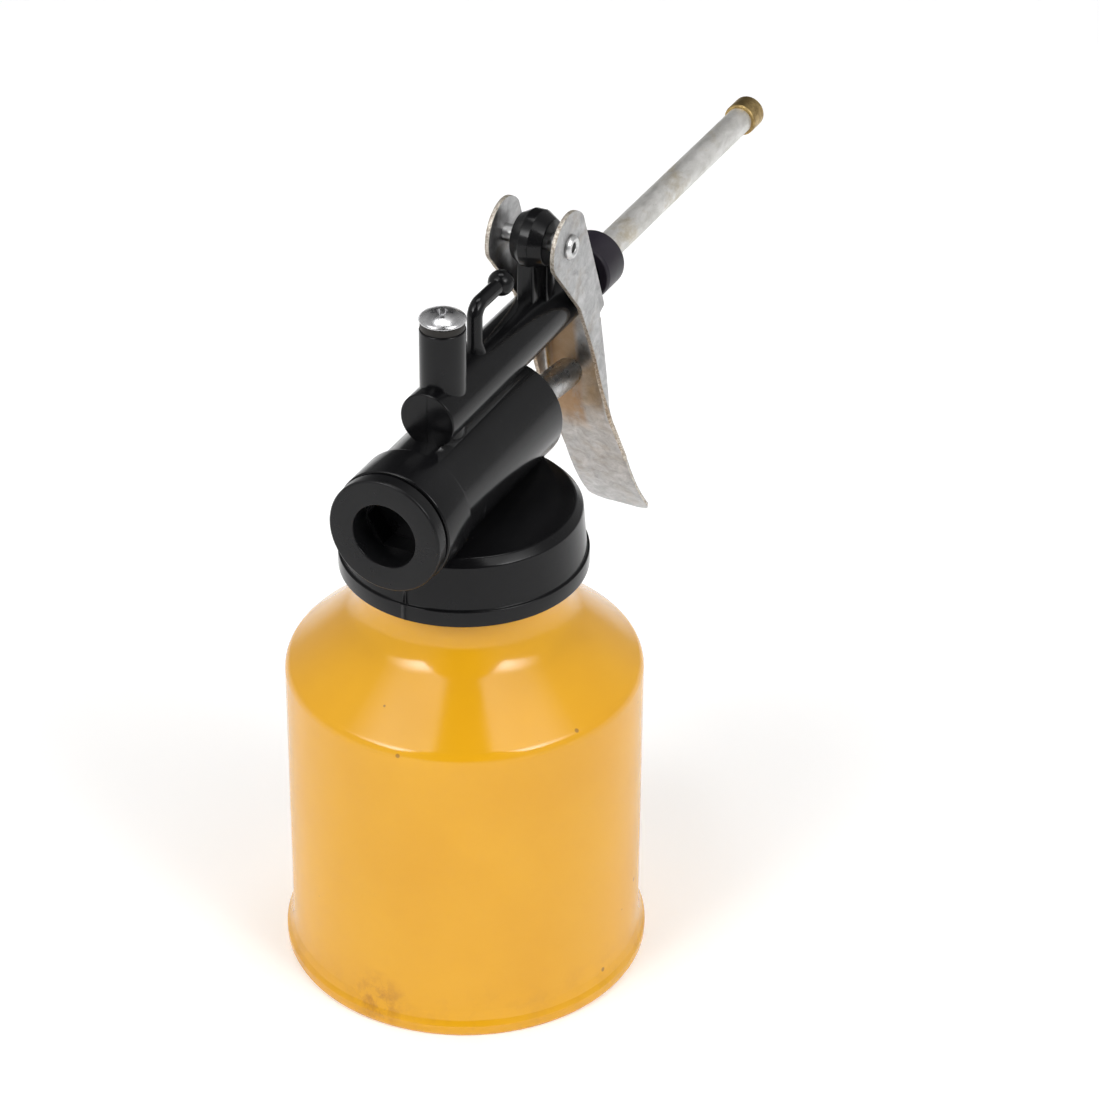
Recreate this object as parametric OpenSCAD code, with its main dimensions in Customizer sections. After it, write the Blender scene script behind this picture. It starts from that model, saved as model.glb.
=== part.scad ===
// Hand-pump oiler can: a painted steel can, a moulded screw-on pump head, a squeeze lever and a spout.
// Frame: origin at the centre of the base, +X towards the spout tip, +Z up, millimetres.
// The object is the same on both sides of the plane Y = 0.

/* [Can] */
// Outer radius of the can wall
can_r = 32.5; // [30:0.1:34]
// Thickness of the sheet steel
can_wall = 0.5; // [0.4:0.1:0.8]
// Height where the wall starts to turn into the shoulder
shoulder_z = 59.6; // [50:0.1:62]
// Radius of the turn between the wall and the shoulder cone
shoulder_bend = 3.0; // [2:0.1:5]
// Rise of the shoulder cone above horizontal, in degrees
shoulder_angle = 41; // [36:1:44]
// Radius of the hollow turn between the shoulder cone and the neck
neck_fillet = 9.6; // [8:0.2:10]
// Outer radius of the neck
neck_r = 18.3; // [18:0.1:18.5]
// Height of the neck's top edge
neck_top_z = 90.7; // [89:0.1:90.7]
// Outer radius of the rolled bead round the base
bead_r = 33.8; // [33:0.1:35]
// Height of the base bead
bead_h = 3.0; // [2:0.1:4]
// Height of the recessed bottom sheet above the table
base_recess = 2.4; // [2:0.1:3.5]

/* [Cap] */
// Radius of the flange round the cap's lower edge
flange_r = 22.4; // [22:0.1:24]
// Height of the cap's lower edge above the table
flange_z = 81.9; // [81:0.1:83]
// Height of that flange
flange_h = 3.2; // [2:0.1:5]
// Outer radius of the cap wall above the flange
cap_r = 21.9; // [21.8:0.1:22.2]
// Outer radius of the cap wall below the top chamfer
cap_top_r = 21.2; // [21:0.1:21.8]
// Height of the cap's flat top
cap_top_z = 94.7; // [94.5:0.1:96]
// Size of the chamfer round the cap top
cap_chamfer = 1.3; // [0.5:0.1:2]
// Inner radius of the cap
cap_bore_r = 19.2; // [19:0.1:19.6]
// Height of the cap's inner ceiling
cap_ceiling_z = 92.3; // [92:0.1:92.6]

/* [Pump cylinder] */
// Height of the cylinder axis
pump_z = 102.85; // [102:0.1:104]
// Outer radius of the cylinder
pump_r = 10.05; // [9.5:0.05:10.4]
// Front face of the cylinder
pump_front_x = 19.3; // [18:0.1:22]
// Radius of the bore the piston runs in
pump_bore_r = 7.6; // [7:0.1:7.8]
// Rear face of the thick rear collar
collar_rear_x = -26.0; // [-26.3:0.1:-25]
// Front edge of the thick rear collar
collar_front_x = -17.6; // [-19:0.1:-16]
// Radius of the thick rear collar
collar_r = 10.85; // [10.5:0.05:11.2]
// Rear face of the end plug
plug_rear_x = -29.2; // [-31:0.1:-28]
// Radius of the end plug's flange
plug_r = 10.65; // [10:0.05:10.8]
// Radius of the round recess in the end plug
plug_recess_r = 6.0; // [5.5:0.1:6.4]

/* [Discharge tube and valve] */
// Height of the discharge tube's axis
tube_z = 117.2; // [116.6:0.1:118]
// Outer radius of the discharge tube
tube_r = 5.15; // [4.8:0.05:5.4]
// Rear end of the discharge tube
tube_rear_x = -13.3; // [-15:0.1:-12]
// Front end of the full-size tube, where the narrow neck starts
tube_front_x = 44.0; // [43.5:0.1:45]
// Radius of the bore along the discharge tube
tube_bore_r = 2.0; // [1.5:0.1:2.2]
// Distance of the valve boss and the inlet valve behind the can's axis
valve_x = -7.3; // [-8:0.1:-7]
// Outer radius of the valve boss
boss_r = 4.05; // [4:0.05:4.6]
// Height of the valve boss's top
boss_top_z = 132.5; // [131:0.1:133]
// Radius of the valve screw's head
screw_head_r = 4.1; // [3.6:0.05:4.4]

/* [Spout] */
// Rear end of the spout nut
nut_rear_x = 46.4; // [46:0.1:47]
// Front face of the spout nut
nut_front_x = 53.5; // [53:0.1:56]
// Outer radius of the spout nut
nut_r = 5.66; // [5.4:0.02:6]
// Outer radius of the spout tube
spout_r = 2.6; // [2.4:0.05:2.8]
// Rear rim of the brass tip
tip_rear_x = 117.5; // [100:0.5:140]
// Length of the brass tip
tip_length = 5.2; // [4:0.1:7]
// Outer radius of the brass tip
tip_r = 3.25; // [3:0.05:3.6]

/* [Lever] */
// Distance of the lever pivot in front of the can's axis
pivot_x = 28.0; // [27.8:0.1:28.2]
// Height of the lever pivot
pivot_z = 132.9; // [132.7:0.1:133.1]
// Radius of the rounded ears at the pivot
ear_r = 6.5; // [6:0.1:7]
// Half of the lever's outside width
lever_half_w = 6.8; // [6.7:0.05:7.2]
// Thickness of the lever's sheet steel
sheet = 0.8; // [0.6:0.1:1.0]
// Radius of the pivot rivet's shank
rivet_r = 1.6; // [1.4:0.05:1.8]
// Radius of the rivet's rolled heads
rivet_head_r = 2.25; // [2.1:0.05:2.6]

/* [Push rod] */
// Radius of the push rod
rod_r = 2.8; // [2.5:0.05:3]
// Droop of the push rod towards the lever, in degrees
rod_droop = 7.0; // [6:0.1:8]

/* [Hook] */
// Radius of the hook's wire-like rod
hook_r = 1.38; // [1.1:0.01:1.5]
// Distance of the hook in front of the can's axis
hook_x = 4.5; // [4:0.1:6]
// Height of the hook's upper arm
hook_z = 130.6; // [129.5:0.1:132]
// Length of the hook's arm from its upright to the end ball
hook_reach = 10.0; // [8:0.1:10]
// Radius of the ball at the end of the hook
hook_ball_r = 2.35; // [2:0.05:2.6]

/* [Hidden] */
$fn = 96;
eps = 0.01;
// how far a cutter runs past the face it opens
past = 1;
// how far moulded features run into one another so that they join
sink = 1;

// shoulder profile
bend_end_r = can_r - shoulder_bend + shoulder_bend * sin(shoulder_angle);
bend_end_z = shoulder_z + shoulder_bend * cos(shoulder_angle);
outline_steps = 8;
fillet_z = bend_end_z + (bend_end_r - neck_r - neck_fillet) * tan(shoulder_angle)
    + neck_fillet / cos(shoulder_angle);

// rolled thread ridges round the neck
ridge_r = 0.5;
ridge_sink = 0.1;
ridge_heights = [84.4, 87.4];

// parts inside the cap
gasket_inner_r = 16.0;
gasket_r = 18.9;
gasket_gap = 0.05;
boss_under_r = 4.8;
boss_under_z = 77.0;
inlet_port_r = 1.0;
inlet_chamber_r = 2.3;
// slot that lets oil past the ball when it is lifted
bypass = [4, 1, 1.4];
saddle = [8, 8, 4];
saddle_x = -21;
seat_z = 87.6;
seat_h = 3.0;
seat_hole_r = 1.2;
seat_r = 3.0;
inlet_ball_r = 1.75;
ball_gap = 0.02;
suction_r = 2.6;
suction_bore_r = 1.7;
suction_end_z = 7.0;
strainer_r = 3.8;
strainer_h = 7.0;
strainer_z = 4.6;
strainer_wall = 0.6;
strainer_taper_h = 1.5;
strainer_socket_z = 2.4;
strainer_hole_r = 0.45;
strainer_holes = [1.2, 3.0];

// parts inside the cylinder
plug_bevel = 0.5;
plug_gap = 0.5;
plug_seal_w = 1.4;
plug_groove_depth = 0.9;
plug_groove_x = -24.5;
spring_boss_r = 6.2;
thread_r = 8.7;
thread_front_x = -19.5;
plug_hex_af = 10.2;
plug_hex_floor_x = -20.4;
recess_floor_x = -24.2;
ring_bore_r = 5.9;
ring_front_x = 18.1;
ring_w = 1.8;
piston_rear_x = 7.0;
piston_front_x = 14.6;
piston_gap = 0.06;
seal_x = 10.4;
seal_w = 1.6;
seal_gap = 0.02;
seal_side_gap = 0.1;
groove_depth = 1.4;
rod_relief = 1.6;
rod_relief_x = 12.2;
rod_seat_x = 9.6;
rod_end_x = 41.22;
spring_wire = 0.45;
spring_r = 5.2;
spring_turns = 9;
spring_rear_x = -17.6;
contact_gap = 0.05;

// outlet valve
outlet_seat_z = 113.4;
outlet_port_r = 1.1;
outlet_ball_r = 2.0;
outlet_chamber_r = 2.5;
outlet_ball_z = outlet_seat_z + sqrt(pow(outlet_ball_r, 2) - pow(outlet_port_r, 2));
outlet_wire = 0.25;
outlet_coil_r = 1.5;
outlet_turns = 8;
screw_shank_r = 2.5;
screw_tip_z = 126.6;
screw_slot_floor = 0.5;
screw_head_h = 1.9;
screw_dome_r = 7.1;
screw_slot = [4.6, 0.9];
screw_turn = 25;
washer_h = 1.4;
washer_inset = 0.15;

// web between the discharge tube and the cylinder
web_w = 3.2;
web_inset = 2;

// spout joint
neck_front_x = 49.4;
tube_neck_r = 3.9;
seal_h = 0.9;
nut_rear_bevel = 0.4;
nut_front_bevel = 0.5;
spout_flange_w = 1.0;
spout_flange_r = 3.8;
spout_flange_gap = 0.1;
spout_bore_r = 1.8;
tip_socket = 1.6;
tip_rear_bevel = [0.3, 0.2];
tip_chamfer = 0.7;
tip_bore_r = 0.7;

// cruciform post and barrel that carry the lever
post_x = 28.6;
post_web = 3.3;
post_long = 9.6;
post_wide = 5.6;
barrel_mid_r = 5.5;
barrel_end_r = 4.2;
barrel_half = 3.2;
barrel_band = 0.9;
pin_clearance = 0.05;

// lever web, front surface from top to bottom, as [x, z]
web_front = [[42.2, 112.1], [44.2, 103.2], [45.8, 95.5], [47.3, 88.8], [54.5, 75.5],
    [56.9, 71.0], [59.1, 67.3], [61.5, 63.8], [64.1, 60.5], [67.0, 57.5]];
// rear edge of the lever's side flanges from the pivot down, as [x, z]
flange_rear = [[22.2, 133.2], [32.5, 118.3], [38.6, 106], [42.1, 97.2], [46.6, 87.8], [54.2, 75.0]];
ear_front_low = [42.45, 114.4];
ear_front_top = [31.6, 138.28];
ear_rear_low = [22.0, 130.4];
ear_rear_top = [24, 134];
blade_corner = 3.2;
blade_corner_z = 60.5;

// hook and rivet
hook_bend = 2.2;
hook_foot_h = 1.6;
hook_foot_flare = 0.9;
rivet_head_h = 0.9;
rivet_edge = 0.4;
rivet_hollow_r = 0.9;
rivet_hollow_depth = 2.1;

// tube along X from x0 to x1 round the height z
module rod_x(x0, x1, z, r) {
    translate([x0, 0, z])
        rotate([0, 90, 0])
            cylinder(h = x1 - x0, r = r);
}

module cone_x(x0, x1, z, r0, r1) {
    translate([x0, 0, z])
        rotate([0, 90, 0])
            cylinder(h = x1 - x0, r1 = r0, r2 = r1);
}

// can outline from the wall up to the neck's top edge, offset inwards by t, as [radius, z]
function can_outline(t) = concat(
    [for (i = [0:outline_steps]) let (a = i * (90 - shoulder_angle) / outline_steps)
        [can_r - shoulder_bend + (shoulder_bend - t) * cos(a), shoulder_z + (shoulder_bend - t) * sin(a)]],
    [for (i = [outline_steps:-1:0]) let (a = i * (90 - shoulder_angle) / outline_steps)
        [neck_r + neck_fillet - (neck_fillet + t) * cos(a), fillet_z - (neck_fillet + t) * sin(a)]],
    [[neck_r - t, neck_top_z]]);

// helical wire standing on Z = 0
module coil(r, wire, h, turns, slices) {
    pitch = h / turns;
    points = [for (i = [0:11]) let (a = 30 * i)
        let (turn = wire * sin(a) * 360 / pitch)
            [(r + wire * cos(a)) * cos(turn), (r + wire * cos(a)) * sin(turn)]];
    translate([0, 0, wire])
        linear_extrude(height = h - 2 * wire, twist = -360 * turns * (h - 2 * wire) / h,
            slices = slices, $fn = 12)
            polygon(points);
}

module can_body() {
    bead = [[can_r - can_wall, 0], [bead_r - 0.6, 0], [bead_r, 0.7], [bead_r, bead_h - 0.6],
        [bead_r - 0.5, bead_h], [can_r + 0.35, bead_h + 1.6], [can_r, bead_h + 3.4]];
    inner = can_outline(can_wall);
    color([0.90, 0.62, 0.13])
        rotate_extrude() {
            polygon(concat(bead, can_outline(0), [for (i = [len(inner) - 1:-1:0]) inner[i]]));
            for (z = ridge_heights)
                translate([neck_r - ridge_sink, z])
                    circle(r = ridge_r, $fn = 32);
        }
}

module can_base() {
    sheet_r = can_r - can_wall;
    color([0.86, 0.58, 0.12])
        rotate_extrude() {
            translate([0, base_recess])
                square([sheet_r, can_wall]);
            translate([sheet_r - can_wall, 0])
                square([can_wall, base_recess + can_wall]);
        }
}

module neck_gasket() {
    gasket_h = cap_ceiling_z - neck_top_z - 2 * gasket_gap;
    color([0.12, 0.12, 0.12])
        translate([0, 0, neck_top_z + gasket_gap])
            difference() {
                cylinder(h = gasket_h, r = gasket_r);
                translate([0, 0, -past])
                    cylinder(h = gasket_h + 2 * past, r = gasket_inner_r);
            }
}

// cap with its flange, chamfer and hollow skirt
module cap_shell() {
    rotate_extrude()
        polygon([[0, cap_ceiling_z], [cap_bore_r, cap_ceiling_z], [cap_bore_r, flange_z + 0.5],
            [cap_bore_r + 0.5, flange_z], [flange_r - 0.3, flange_z], [flange_r, flange_z + 0.3],
            [flange_r, flange_z + flange_h - 0.4], [flange_r - 0.25, flange_z + flange_h],
            [cap_r, flange_z + flange_h], [cap_top_r, cap_top_z - cap_chamfer],
            [cap_top_r - cap_chamfer, cap_top_z], [0, cap_top_z]]);
}

// moulded hook standing on the discharge tube
module hook() {
    foot_z = tube_z + tube_r - sink;
    translate([hook_x, 0, foot_z])
        cylinder(h = hook_z - hook_bend - foot_z, r = hook_r, $fn = 48);
    translate([hook_x, 0, foot_z + sink / 2])
        cylinder(h = hook_foot_h, r1 = hook_r + hook_foot_flare, r2 = hook_r, $fn = 48);
    translate([hook_x + hook_bend, 0, hook_z - hook_bend])
        rotate([90, 0, 0])
            rotate([0, 0, 90])
                rotate_extrude(angle = 90)
                    translate([hook_bend, 0])
                        circle(r = hook_r, $fn = 48);
    rod_x(hook_x + hook_bend, hook_x + hook_reach, hook_z, hook_r);
    translate([hook_x + hook_reach, 0, hook_z])
        sphere(r = hook_ball_r, $fn = 48);
}

// post of crossed webs and the double-cone barrel that carry the lever pivot
module pivot_post() {
    post_bottom = tube_z + tube_r - 1.5 * sink;
    post_top = pivot_z - barrel_end_r + 1.4 * sink;
    translate([post_x - post_long / 2, -post_web / 2, post_bottom])
        cube([post_long, post_web, post_top - post_bottom]);
    translate([post_x - post_web / 2, -post_wide / 2, post_bottom - 2 * sink])
        cube([post_web, post_wide, post_top - post_bottom + 2 * sink]);
    for (side = [-1, 1])
        translate([pivot_x, 0, pivot_z])
            rotate([side * 90, 0, 0]) {
                cylinder(h = barrel_band, r = barrel_mid_r);
                translate([0, 0, barrel_band])
                    cylinder(h = barrel_half - barrel_band, r1 = barrel_mid_r, r2 = barrel_end_r);
            }
}

// thick rear end of the cylinder, cut away where it would dip below the cap's ceiling
module rear_collar() {
    difference() {
        rod_x(collar_rear_x, collar_front_x, pump_z, collar_r);
        translate([0, 0, flange_z])
            cylinder(h = cap_ceiling_z - flange_z, r = cap_bore_r);
    }
}

// everything solid in the moulded head, before its bores
module head_outside() {
    cap_shell();
    rod_x(collar_front_x - sink, pump_front_x, pump_z, pump_r);
    rear_collar();
    // plastic between the cap and the collar
    translate([saddle_x, -saddle[1] / 2, cap_top_z - 1.5 * sink])
        cube(saddle);
    rod_x(tube_rear_x, tube_front_x, tube_z, tube_r);
    rod_x(tube_front_x, neck_front_x, tube_z, tube_neck_r);
    // web that joins the discharge tube to the cylinder
    translate([tube_rear_x + web_inset, -web_w / 2, pump_z + pump_r - 2 * sink])
        cube([pump_front_x - tube_rear_x - 1.5 * web_inset, web_w, tube_z - pump_z - pump_r]);
    // valve boss, which carries on below the tube as a pillar on the cylinder
    translate([valve_x, 0, pump_z + pump_bore_r])
        cylinder(h = boss_top_z - pump_z - pump_bore_r, r = boss_r);
    translate([valve_x, 0, boss_under_z])
        cylinder(h = cap_ceiling_z - boss_under_z + sink, r = boss_under_r);
    hook();
    pivot_post();
}

// inlet: port, ball chamber with its bypass slot, seat pocket and tube socket
module inlet_bores() {
    port_z = cap_ceiling_z - past;
    pocket_z = seat_z - seat_h;
    translate([valve_x, 0, port_z])
        cylinder(h = pump_z - pump_bore_r + past - port_z, r = inlet_port_r, $fn = 48);
    translate([valve_x, 0, seat_z])
        cylinder(h = cap_ceiling_z - seat_z - 0.3 * sink, r = inlet_chamber_r, $fn = 48);
    translate([valve_x - bypass[0] / 2, -bypass[1] / 2, port_z])
        cube(bypass);
    translate([valve_x, 0, pocket_z])
        cylinder(h = seat_h, r = seat_r, $fn = 64);
    translate([valve_x, 0, boss_under_z - past])
        cylinder(h = pocket_z - boss_under_z + past + eps, r = suction_r, $fn = 64);
}

// outlet: port, ball and spring chamber with the screw hole above, and the passage to the spout
module outlet_bores() {
    port_z = pump_z + pump_bore_r - 3.6 * past;
    translate([valve_x, 0, port_z])
        cylinder(h = outlet_seat_z - port_z + eps, r = outlet_port_r, $fn = 48);
    translate([valve_x, 0, outlet_seat_z])
        cylinder(h = boss_top_z - outlet_seat_z + past, r = outlet_chamber_r, $fn = 64);
    rod_x(valve_x, neck_front_x + past, tube_z, tube_bore_r);
}

module pump_head() {
    color([0.04, 0.04, 0.04])
        difference() {
            head_outside();
            // piston bore and the plug's threaded mouth
            rod_x(thread_front_x - eps, pump_front_x + past, pump_z, pump_bore_r);
            rod_x(collar_rear_x - past, thread_front_x, pump_z, thread_r);
            inlet_bores();
            outlet_bores();
            // pivot hole
            translate([pivot_x, -barrel_half - past, pivot_z])
                rotate([-90, 0, 0])
                    cylinder(h = 2 * barrel_half + 2 * past, r = rivet_r + pin_clearance, $fn = 64);
        }
}

module end_plug() {
    groove_x = collar_rear_x - plug_gap;
    color([0.05, 0.05, 0.05])
        difference() {
            union() {
                cone_x(plug_rear_x, plug_rear_x + plug_bevel, pump_z, plug_r - plug_bevel, plug_r);
                rod_x(plug_rear_x + plug_bevel, groove_x, pump_z, plug_r);
                rod_x(groove_x - eps, plug_groove_x + eps, pump_z, thread_r - plug_groove_depth);
                rod_x(plug_groove_x, thread_front_x, pump_z, thread_r);
                rod_x(thread_front_x - eps, spring_rear_x, pump_z, spring_boss_r);
            }
            rod_x(plug_rear_x - past, recess_floor_x, pump_z, plug_recess_r);
            translate([recess_floor_x - eps, 0, pump_z])
                rotate([0, 90, 0])
                    linear_extrude(height = plug_hex_floor_x - recess_floor_x)
                        rotate(30)
                            circle(r = plug_hex_af / 2 / cos(30), $fn = 6);
        }
}

module plug_seal() {
    color([0.10, 0.10, 0.10])
        difference() {
            rod_x(plug_groove_x - plug_seal_w - contact_gap, plug_groove_x - contact_gap, pump_z, thread_r);
            rod_x(collar_rear_x - past, plug_groove_x + past, pump_z, thread_r - plug_groove_depth);
        }
}

module retaining_ring() {
    color([0.55, 0.56, 0.58])
        difference() {
            rod_x(ring_front_x - ring_w, ring_front_x, pump_z, pump_bore_r);
            rod_x(ring_front_x - ring_w - past, ring_front_x + past, pump_z, ring_bore_r);
        }
}

module piston() {
    color([0.75, 0.72, 0.66])
        difference() {
            rod_x(piston_rear_x, piston_front_x, pump_z, pump_bore_r - piston_gap);
            // groove for the seal
            difference() {
                rod_x(seal_x - seal_w / 2, seal_x + seal_w / 2, pump_z, pump_bore_r + past);
                rod_x(seal_x - seal_w, seal_x + seal_w, pump_z, pump_bore_r - groove_depth);
            }
            push_rod_body();
            // relief so the rod can enter at its droop
            cone_x(rod_relief_x, piston_front_x + eps, pump_z, rod_r, rod_r + rod_relief);
        }
}

module piston_seal() {
    color([0.08, 0.08, 0.08])
        difference() {
            rod_x(seal_x - seal_w / 2 + seal_side_gap, seal_x + seal_w / 2 - seal_side_gap, pump_z,
                pump_bore_r - seal_gap);
            rod_x(seal_x - seal_w, seal_x + seal_w, pump_z, pump_bore_r - groove_depth);
        }
}

// rod with two domed ends, drooping from its seat in the piston
module push_rod_body() {
    rod_length = (rod_end_x - rod_seat_x) / cos(rod_droop);
    translate([rod_seat_x, 0, pump_z])
        rotate([0, 90 + rod_droop, 0]) {
            cylinder(h = rod_length, r = rod_r);
            sphere(r = rod_r);
            translate([0, 0, rod_length])
                sphere(r = rod_r);
        }
}

module push_rod() {
    color([0.62, 0.62, 0.62])
        push_rod_body();
}

module return_spring() {
    color([0.65, 0.66, 0.68])
        translate([spring_rear_x + contact_gap, 0, pump_z])
            rotate([0, 90, 0])
                coil(spring_r, spring_wire, piston_rear_x - spring_rear_x - 2 * contact_gap,
                    spring_turns, 180);
}

module inlet_seat() {
    color([0.78, 0.62, 0.30])
        translate([valve_x, 0, seat_z - seat_h])
            difference() {
                cylinder(h = seat_h, r = seat_r, $fn = 64);
                translate([0, 0, -past])
                    cylinder(h = seat_h + 2 * past, r = seat_hole_r, $fn = 48);
            }
}

module inlet_ball() {
    color([0.80, 0.80, 0.82])
        translate([valve_x, 0, seat_z + sqrt(pow(inlet_ball_r, 2) - pow(seat_hole_r, 2)) + ball_gap])
            sphere(r = inlet_ball_r, $fn = 48);
}

module suction_tube() {
    color([0.85, 0.86, 0.84])
        translate([valve_x, 0, suction_end_z])
            difference() {
                cylinder(h = seat_z - seat_h - suction_end_z, r = suction_r, $fn = 64);
                translate([0, 0, -past])
                    cylinder(h = seat_z, r = suction_bore_r, $fn = 48);
            }
}

module strainer() {
    color([0.70, 0.58, 0.30])
        translate([valve_x, 0, strainer_z])
            difference() {
                union() {
                    cylinder(h = strainer_h, r = strainer_r, $fn = 64);
                    translate([0, 0, strainer_h])
                        cylinder(h = strainer_taper_h, r1 = strainer_r, r2 = suction_r + strainer_wall,
                            $fn = 64);
                }
                translate([0, 0, strainer_wall])
                    cylinder(h = strainer_h - 2 * strainer_wall, r = strainer_r - strainer_wall, $fn = 64);
                translate([0, 0, strainer_socket_z])
                    cylinder(h = strainer_h, r = suction_r, $fn = 64);
                for (level = strainer_holes, turn = [0:45:315])
                    rotate([0, 0, turn + 20 * level])
                        translate([strainer_r - 2 * strainer_wall, 0, level])
                            rotate([0, 90, 0])
                                cylinder(h = 2 * strainer_wall + past, r = strainer_hole_r, $fn = 24);
            }
}

module outlet_ball() {
    color([0.80, 0.80, 0.82])
        translate([valve_x, 0, outlet_ball_z + ball_gap])
            sphere(r = outlet_ball_r, $fn = 48);
}

module outlet_spring() {
    ball_top = outlet_ball_z + outlet_ball_r + contact_gap;
    color([0.65, 0.66, 0.68])
        translate([valve_x, 0, ball_top])
            coil(outlet_coil_r, outlet_wire, screw_tip_z - contact_gap - ball_top, outlet_turns, 144);
}

module valve_screw() {
    head_z = boss_top_z + washer_h;
    slot_z = head_z + screw_slot_floor;
    color([0.80, 0.80, 0.82])
        translate([valve_x, 0, 0])
            difference() {
                union() {
                    translate([0, 0, screw_tip_z])
                        cylinder(h = head_z - screw_tip_z, r = screw_shank_r, $fn = 64);
                    intersection() {
                        translate([0, 0, head_z])
                            cylinder(h = screw_head_h, r = screw_head_r);
                        translate([0, 0, head_z + screw_head_h - screw_dome_r])
                            sphere(r = screw_dome_r);
                    }
                }
                // cross recess
                for (turn = [screw_turn, screw_turn + 90])
                    rotate([0, 0, turn])
                        translate([-screw_slot[0] / 2, -screw_slot[1] / 2, slot_z])
                            cube([screw_slot[0], screw_slot[1], screw_head_h]);
                translate([0, 0, slot_z])
                    cylinder(h = screw_head_h, r1 = screw_slot[1] * 2 / 3, r2 = screw_slot[1] * 3 / 2,
                        $fn = 48);
            }
}

module screw_washer() {
    color([0.09, 0.08, 0.08])
        translate([valve_x, 0, boss_top_z])
            difference() {
                cylinder(h = washer_h, r = boss_r - washer_inset);
                translate([0, 0, -past])
                    cylinder(h = washer_h + 2 * past, r = screw_shank_r, $fn = 64);
            }
}

module spout_nut() {
    step_x = neck_front_x + seal_h + spout_flange_w + spout_flange_gap;
    bevel_x = nut_front_x - nut_front_bevel;
    color([0.05, 0.05, 0.06])
        difference() {
            union() {
                cone_x(nut_rear_x, nut_rear_x + nut_rear_bevel, tube_z, nut_r - nut_rear_bevel, nut_r);
                rod_x(nut_rear_x + nut_rear_bevel, bevel_x, tube_z, nut_r);
                cone_x(bevel_x, nut_front_x, tube_z, nut_r, nut_r - nut_front_bevel);
            }
            rod_x(nut_rear_x - past, step_x, tube_z, tube_neck_r);
            rod_x(step_x - past, nut_front_x + past, tube_z, spout_r);
        }
}

module spout_seal() {
    color([0.12, 0.11, 0.10])
        difference() {
            rod_x(neck_front_x, neck_front_x + seal_h, tube_z, spout_flange_r);
            rod_x(neck_front_x - past, neck_front_x + seal_h + past, tube_z, spout_bore_r);
        }
}

module spout_tube() {
    flange_x = neck_front_x + seal_h;
    color([0.78, 0.77, 0.74])
        difference() {
            union() {
                rod_x(flange_x, flange_x + spout_flange_w, tube_z, spout_flange_r);
                rod_x(flange_x, tip_rear_x + tip_socket, tube_z, spout_r);
            }
            rod_x(flange_x - past, tip_rear_x + tip_socket + past, tube_z, spout_bore_r);
        }
}

module nozzle_tip() {
    lip_x = tip_rear_x + tip_rear_bevel[0];
    front_x = tip_rear_x + tip_length;
    color([0.72, 0.55, 0.25])
        difference() {
            union() {
                cone_x(tip_rear_x, lip_x, tube_z, tip_r - tip_rear_bevel[1], tip_r);
                rod_x(lip_x, front_x - tip_chamfer, tube_z, tip_r);
                cone_x(front_x - tip_chamfer, front_x, tube_z, tip_r, tip_r - tip_chamfer);
            }
            rod_x(tip_rear_x - past, tip_rear_x + tip_socket, tube_z, spout_r);
            rod_x(tip_rear_x, front_x + past, tube_z, tip_bore_r);
        }
}

// outline of one side plate of the lever
module side_outline() {
    difference() {
        union() {
            translate([pivot_x, pivot_z])
                circle(r = ear_r);
            polygon(concat([ear_front_top, ear_front_low], [for (i = [0:4]) web_front[i]],
                [for (i = [5:-1:1]) flange_rear[i]], [ear_rear_low, ear_rear_top]));
        }
        translate([pivot_x, pivot_z])
            circle(r = rivet_r, $fn = 64);
    }
}

// volume the lever's blade is cut to, with rounded lower corners
module blade_limits() {
    reach = 100;
    inner_half = lever_half_w - blade_corner;
    translate([0, -lever_half_w, blade_corner_z])
        cube([reach, 2 * lever_half_w, reach]);
    translate([0, -inner_half, blade_corner_z - 3 * blade_corner])
        cube([reach, 2 * inner_half, 4 * blade_corner]);
    for (side = [-1, 1])
        translate([0, side * inner_half, blade_corner_z])
            rotate([0, 90, 0])
                cylinder(h = reach, r = blade_corner);
}

module lever() {
    shift = [for (i = [0:9]) let (a = web_front[max(i - 1, 0)], b = web_front[min(i + 1, 9)])
        let (n = sqrt(pow(b[0] - a[0], 2) + pow(b[1] - a[1], 2)))
            [sheet * (b[1] - a[1]) / n, -sheet * (b[0] - a[0]) / n]];
    web_rear = [for (i = [9:-1:0]) web_front[i] + shift[i]];
    color([0.62, 0.63, 0.64])
        intersection() {
            union() {
                for (y = [-lever_half_w, lever_half_w - sheet])
                    translate([0, y + sheet, 0])
                        rotate([90, 0, 0])
                            linear_extrude(height = sheet)
                                side_outline();
                translate([0, lever_half_w, 0])
                    rotate([90, 0, 0])
                        linear_extrude(height = 2 * lever_half_w)
                            polygon(concat(web_front, web_rear));
            }
            blade_limits();
        }
}

module pivot_rivet() {
    shank_half = lever_half_w + rivet_head_h;
    color([0.70, 0.70, 0.72])
        translate([pivot_x, 0, pivot_z])
            rotate([90, 0, 0])
                difference() {
                    union() {
                        translate([0, 0, -shank_half])
                            cylinder(h = 2 * shank_half, r = rivet_r, $fn = 64);
                        for (side = [0, 1])
                            mirror([0, 0, side])
                                translate([0, 0, lever_half_w])
                                    rivet_head();
                    }
                    for (side = [0, 1])
                        mirror([0, 0, side])
                            translate([0, 0, shank_half - rivet_hollow_depth])
                                cylinder(h = rivet_hollow_depth + past, r = rivet_hollow_r, $fn = 48);
                }
}

// rolled head standing on Z = 0
module rivet_head() {
    side_h = rivet_head_h - rivet_edge;
    cylinder(h = side_h, r = rivet_head_r, $fn = 64);
    translate([0, 0, side_h])
        cylinder(h = rivet_edge, r1 = rivet_head_r, r2 = rivet_head_r - rivet_edge, $fn = 64);
}

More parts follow.
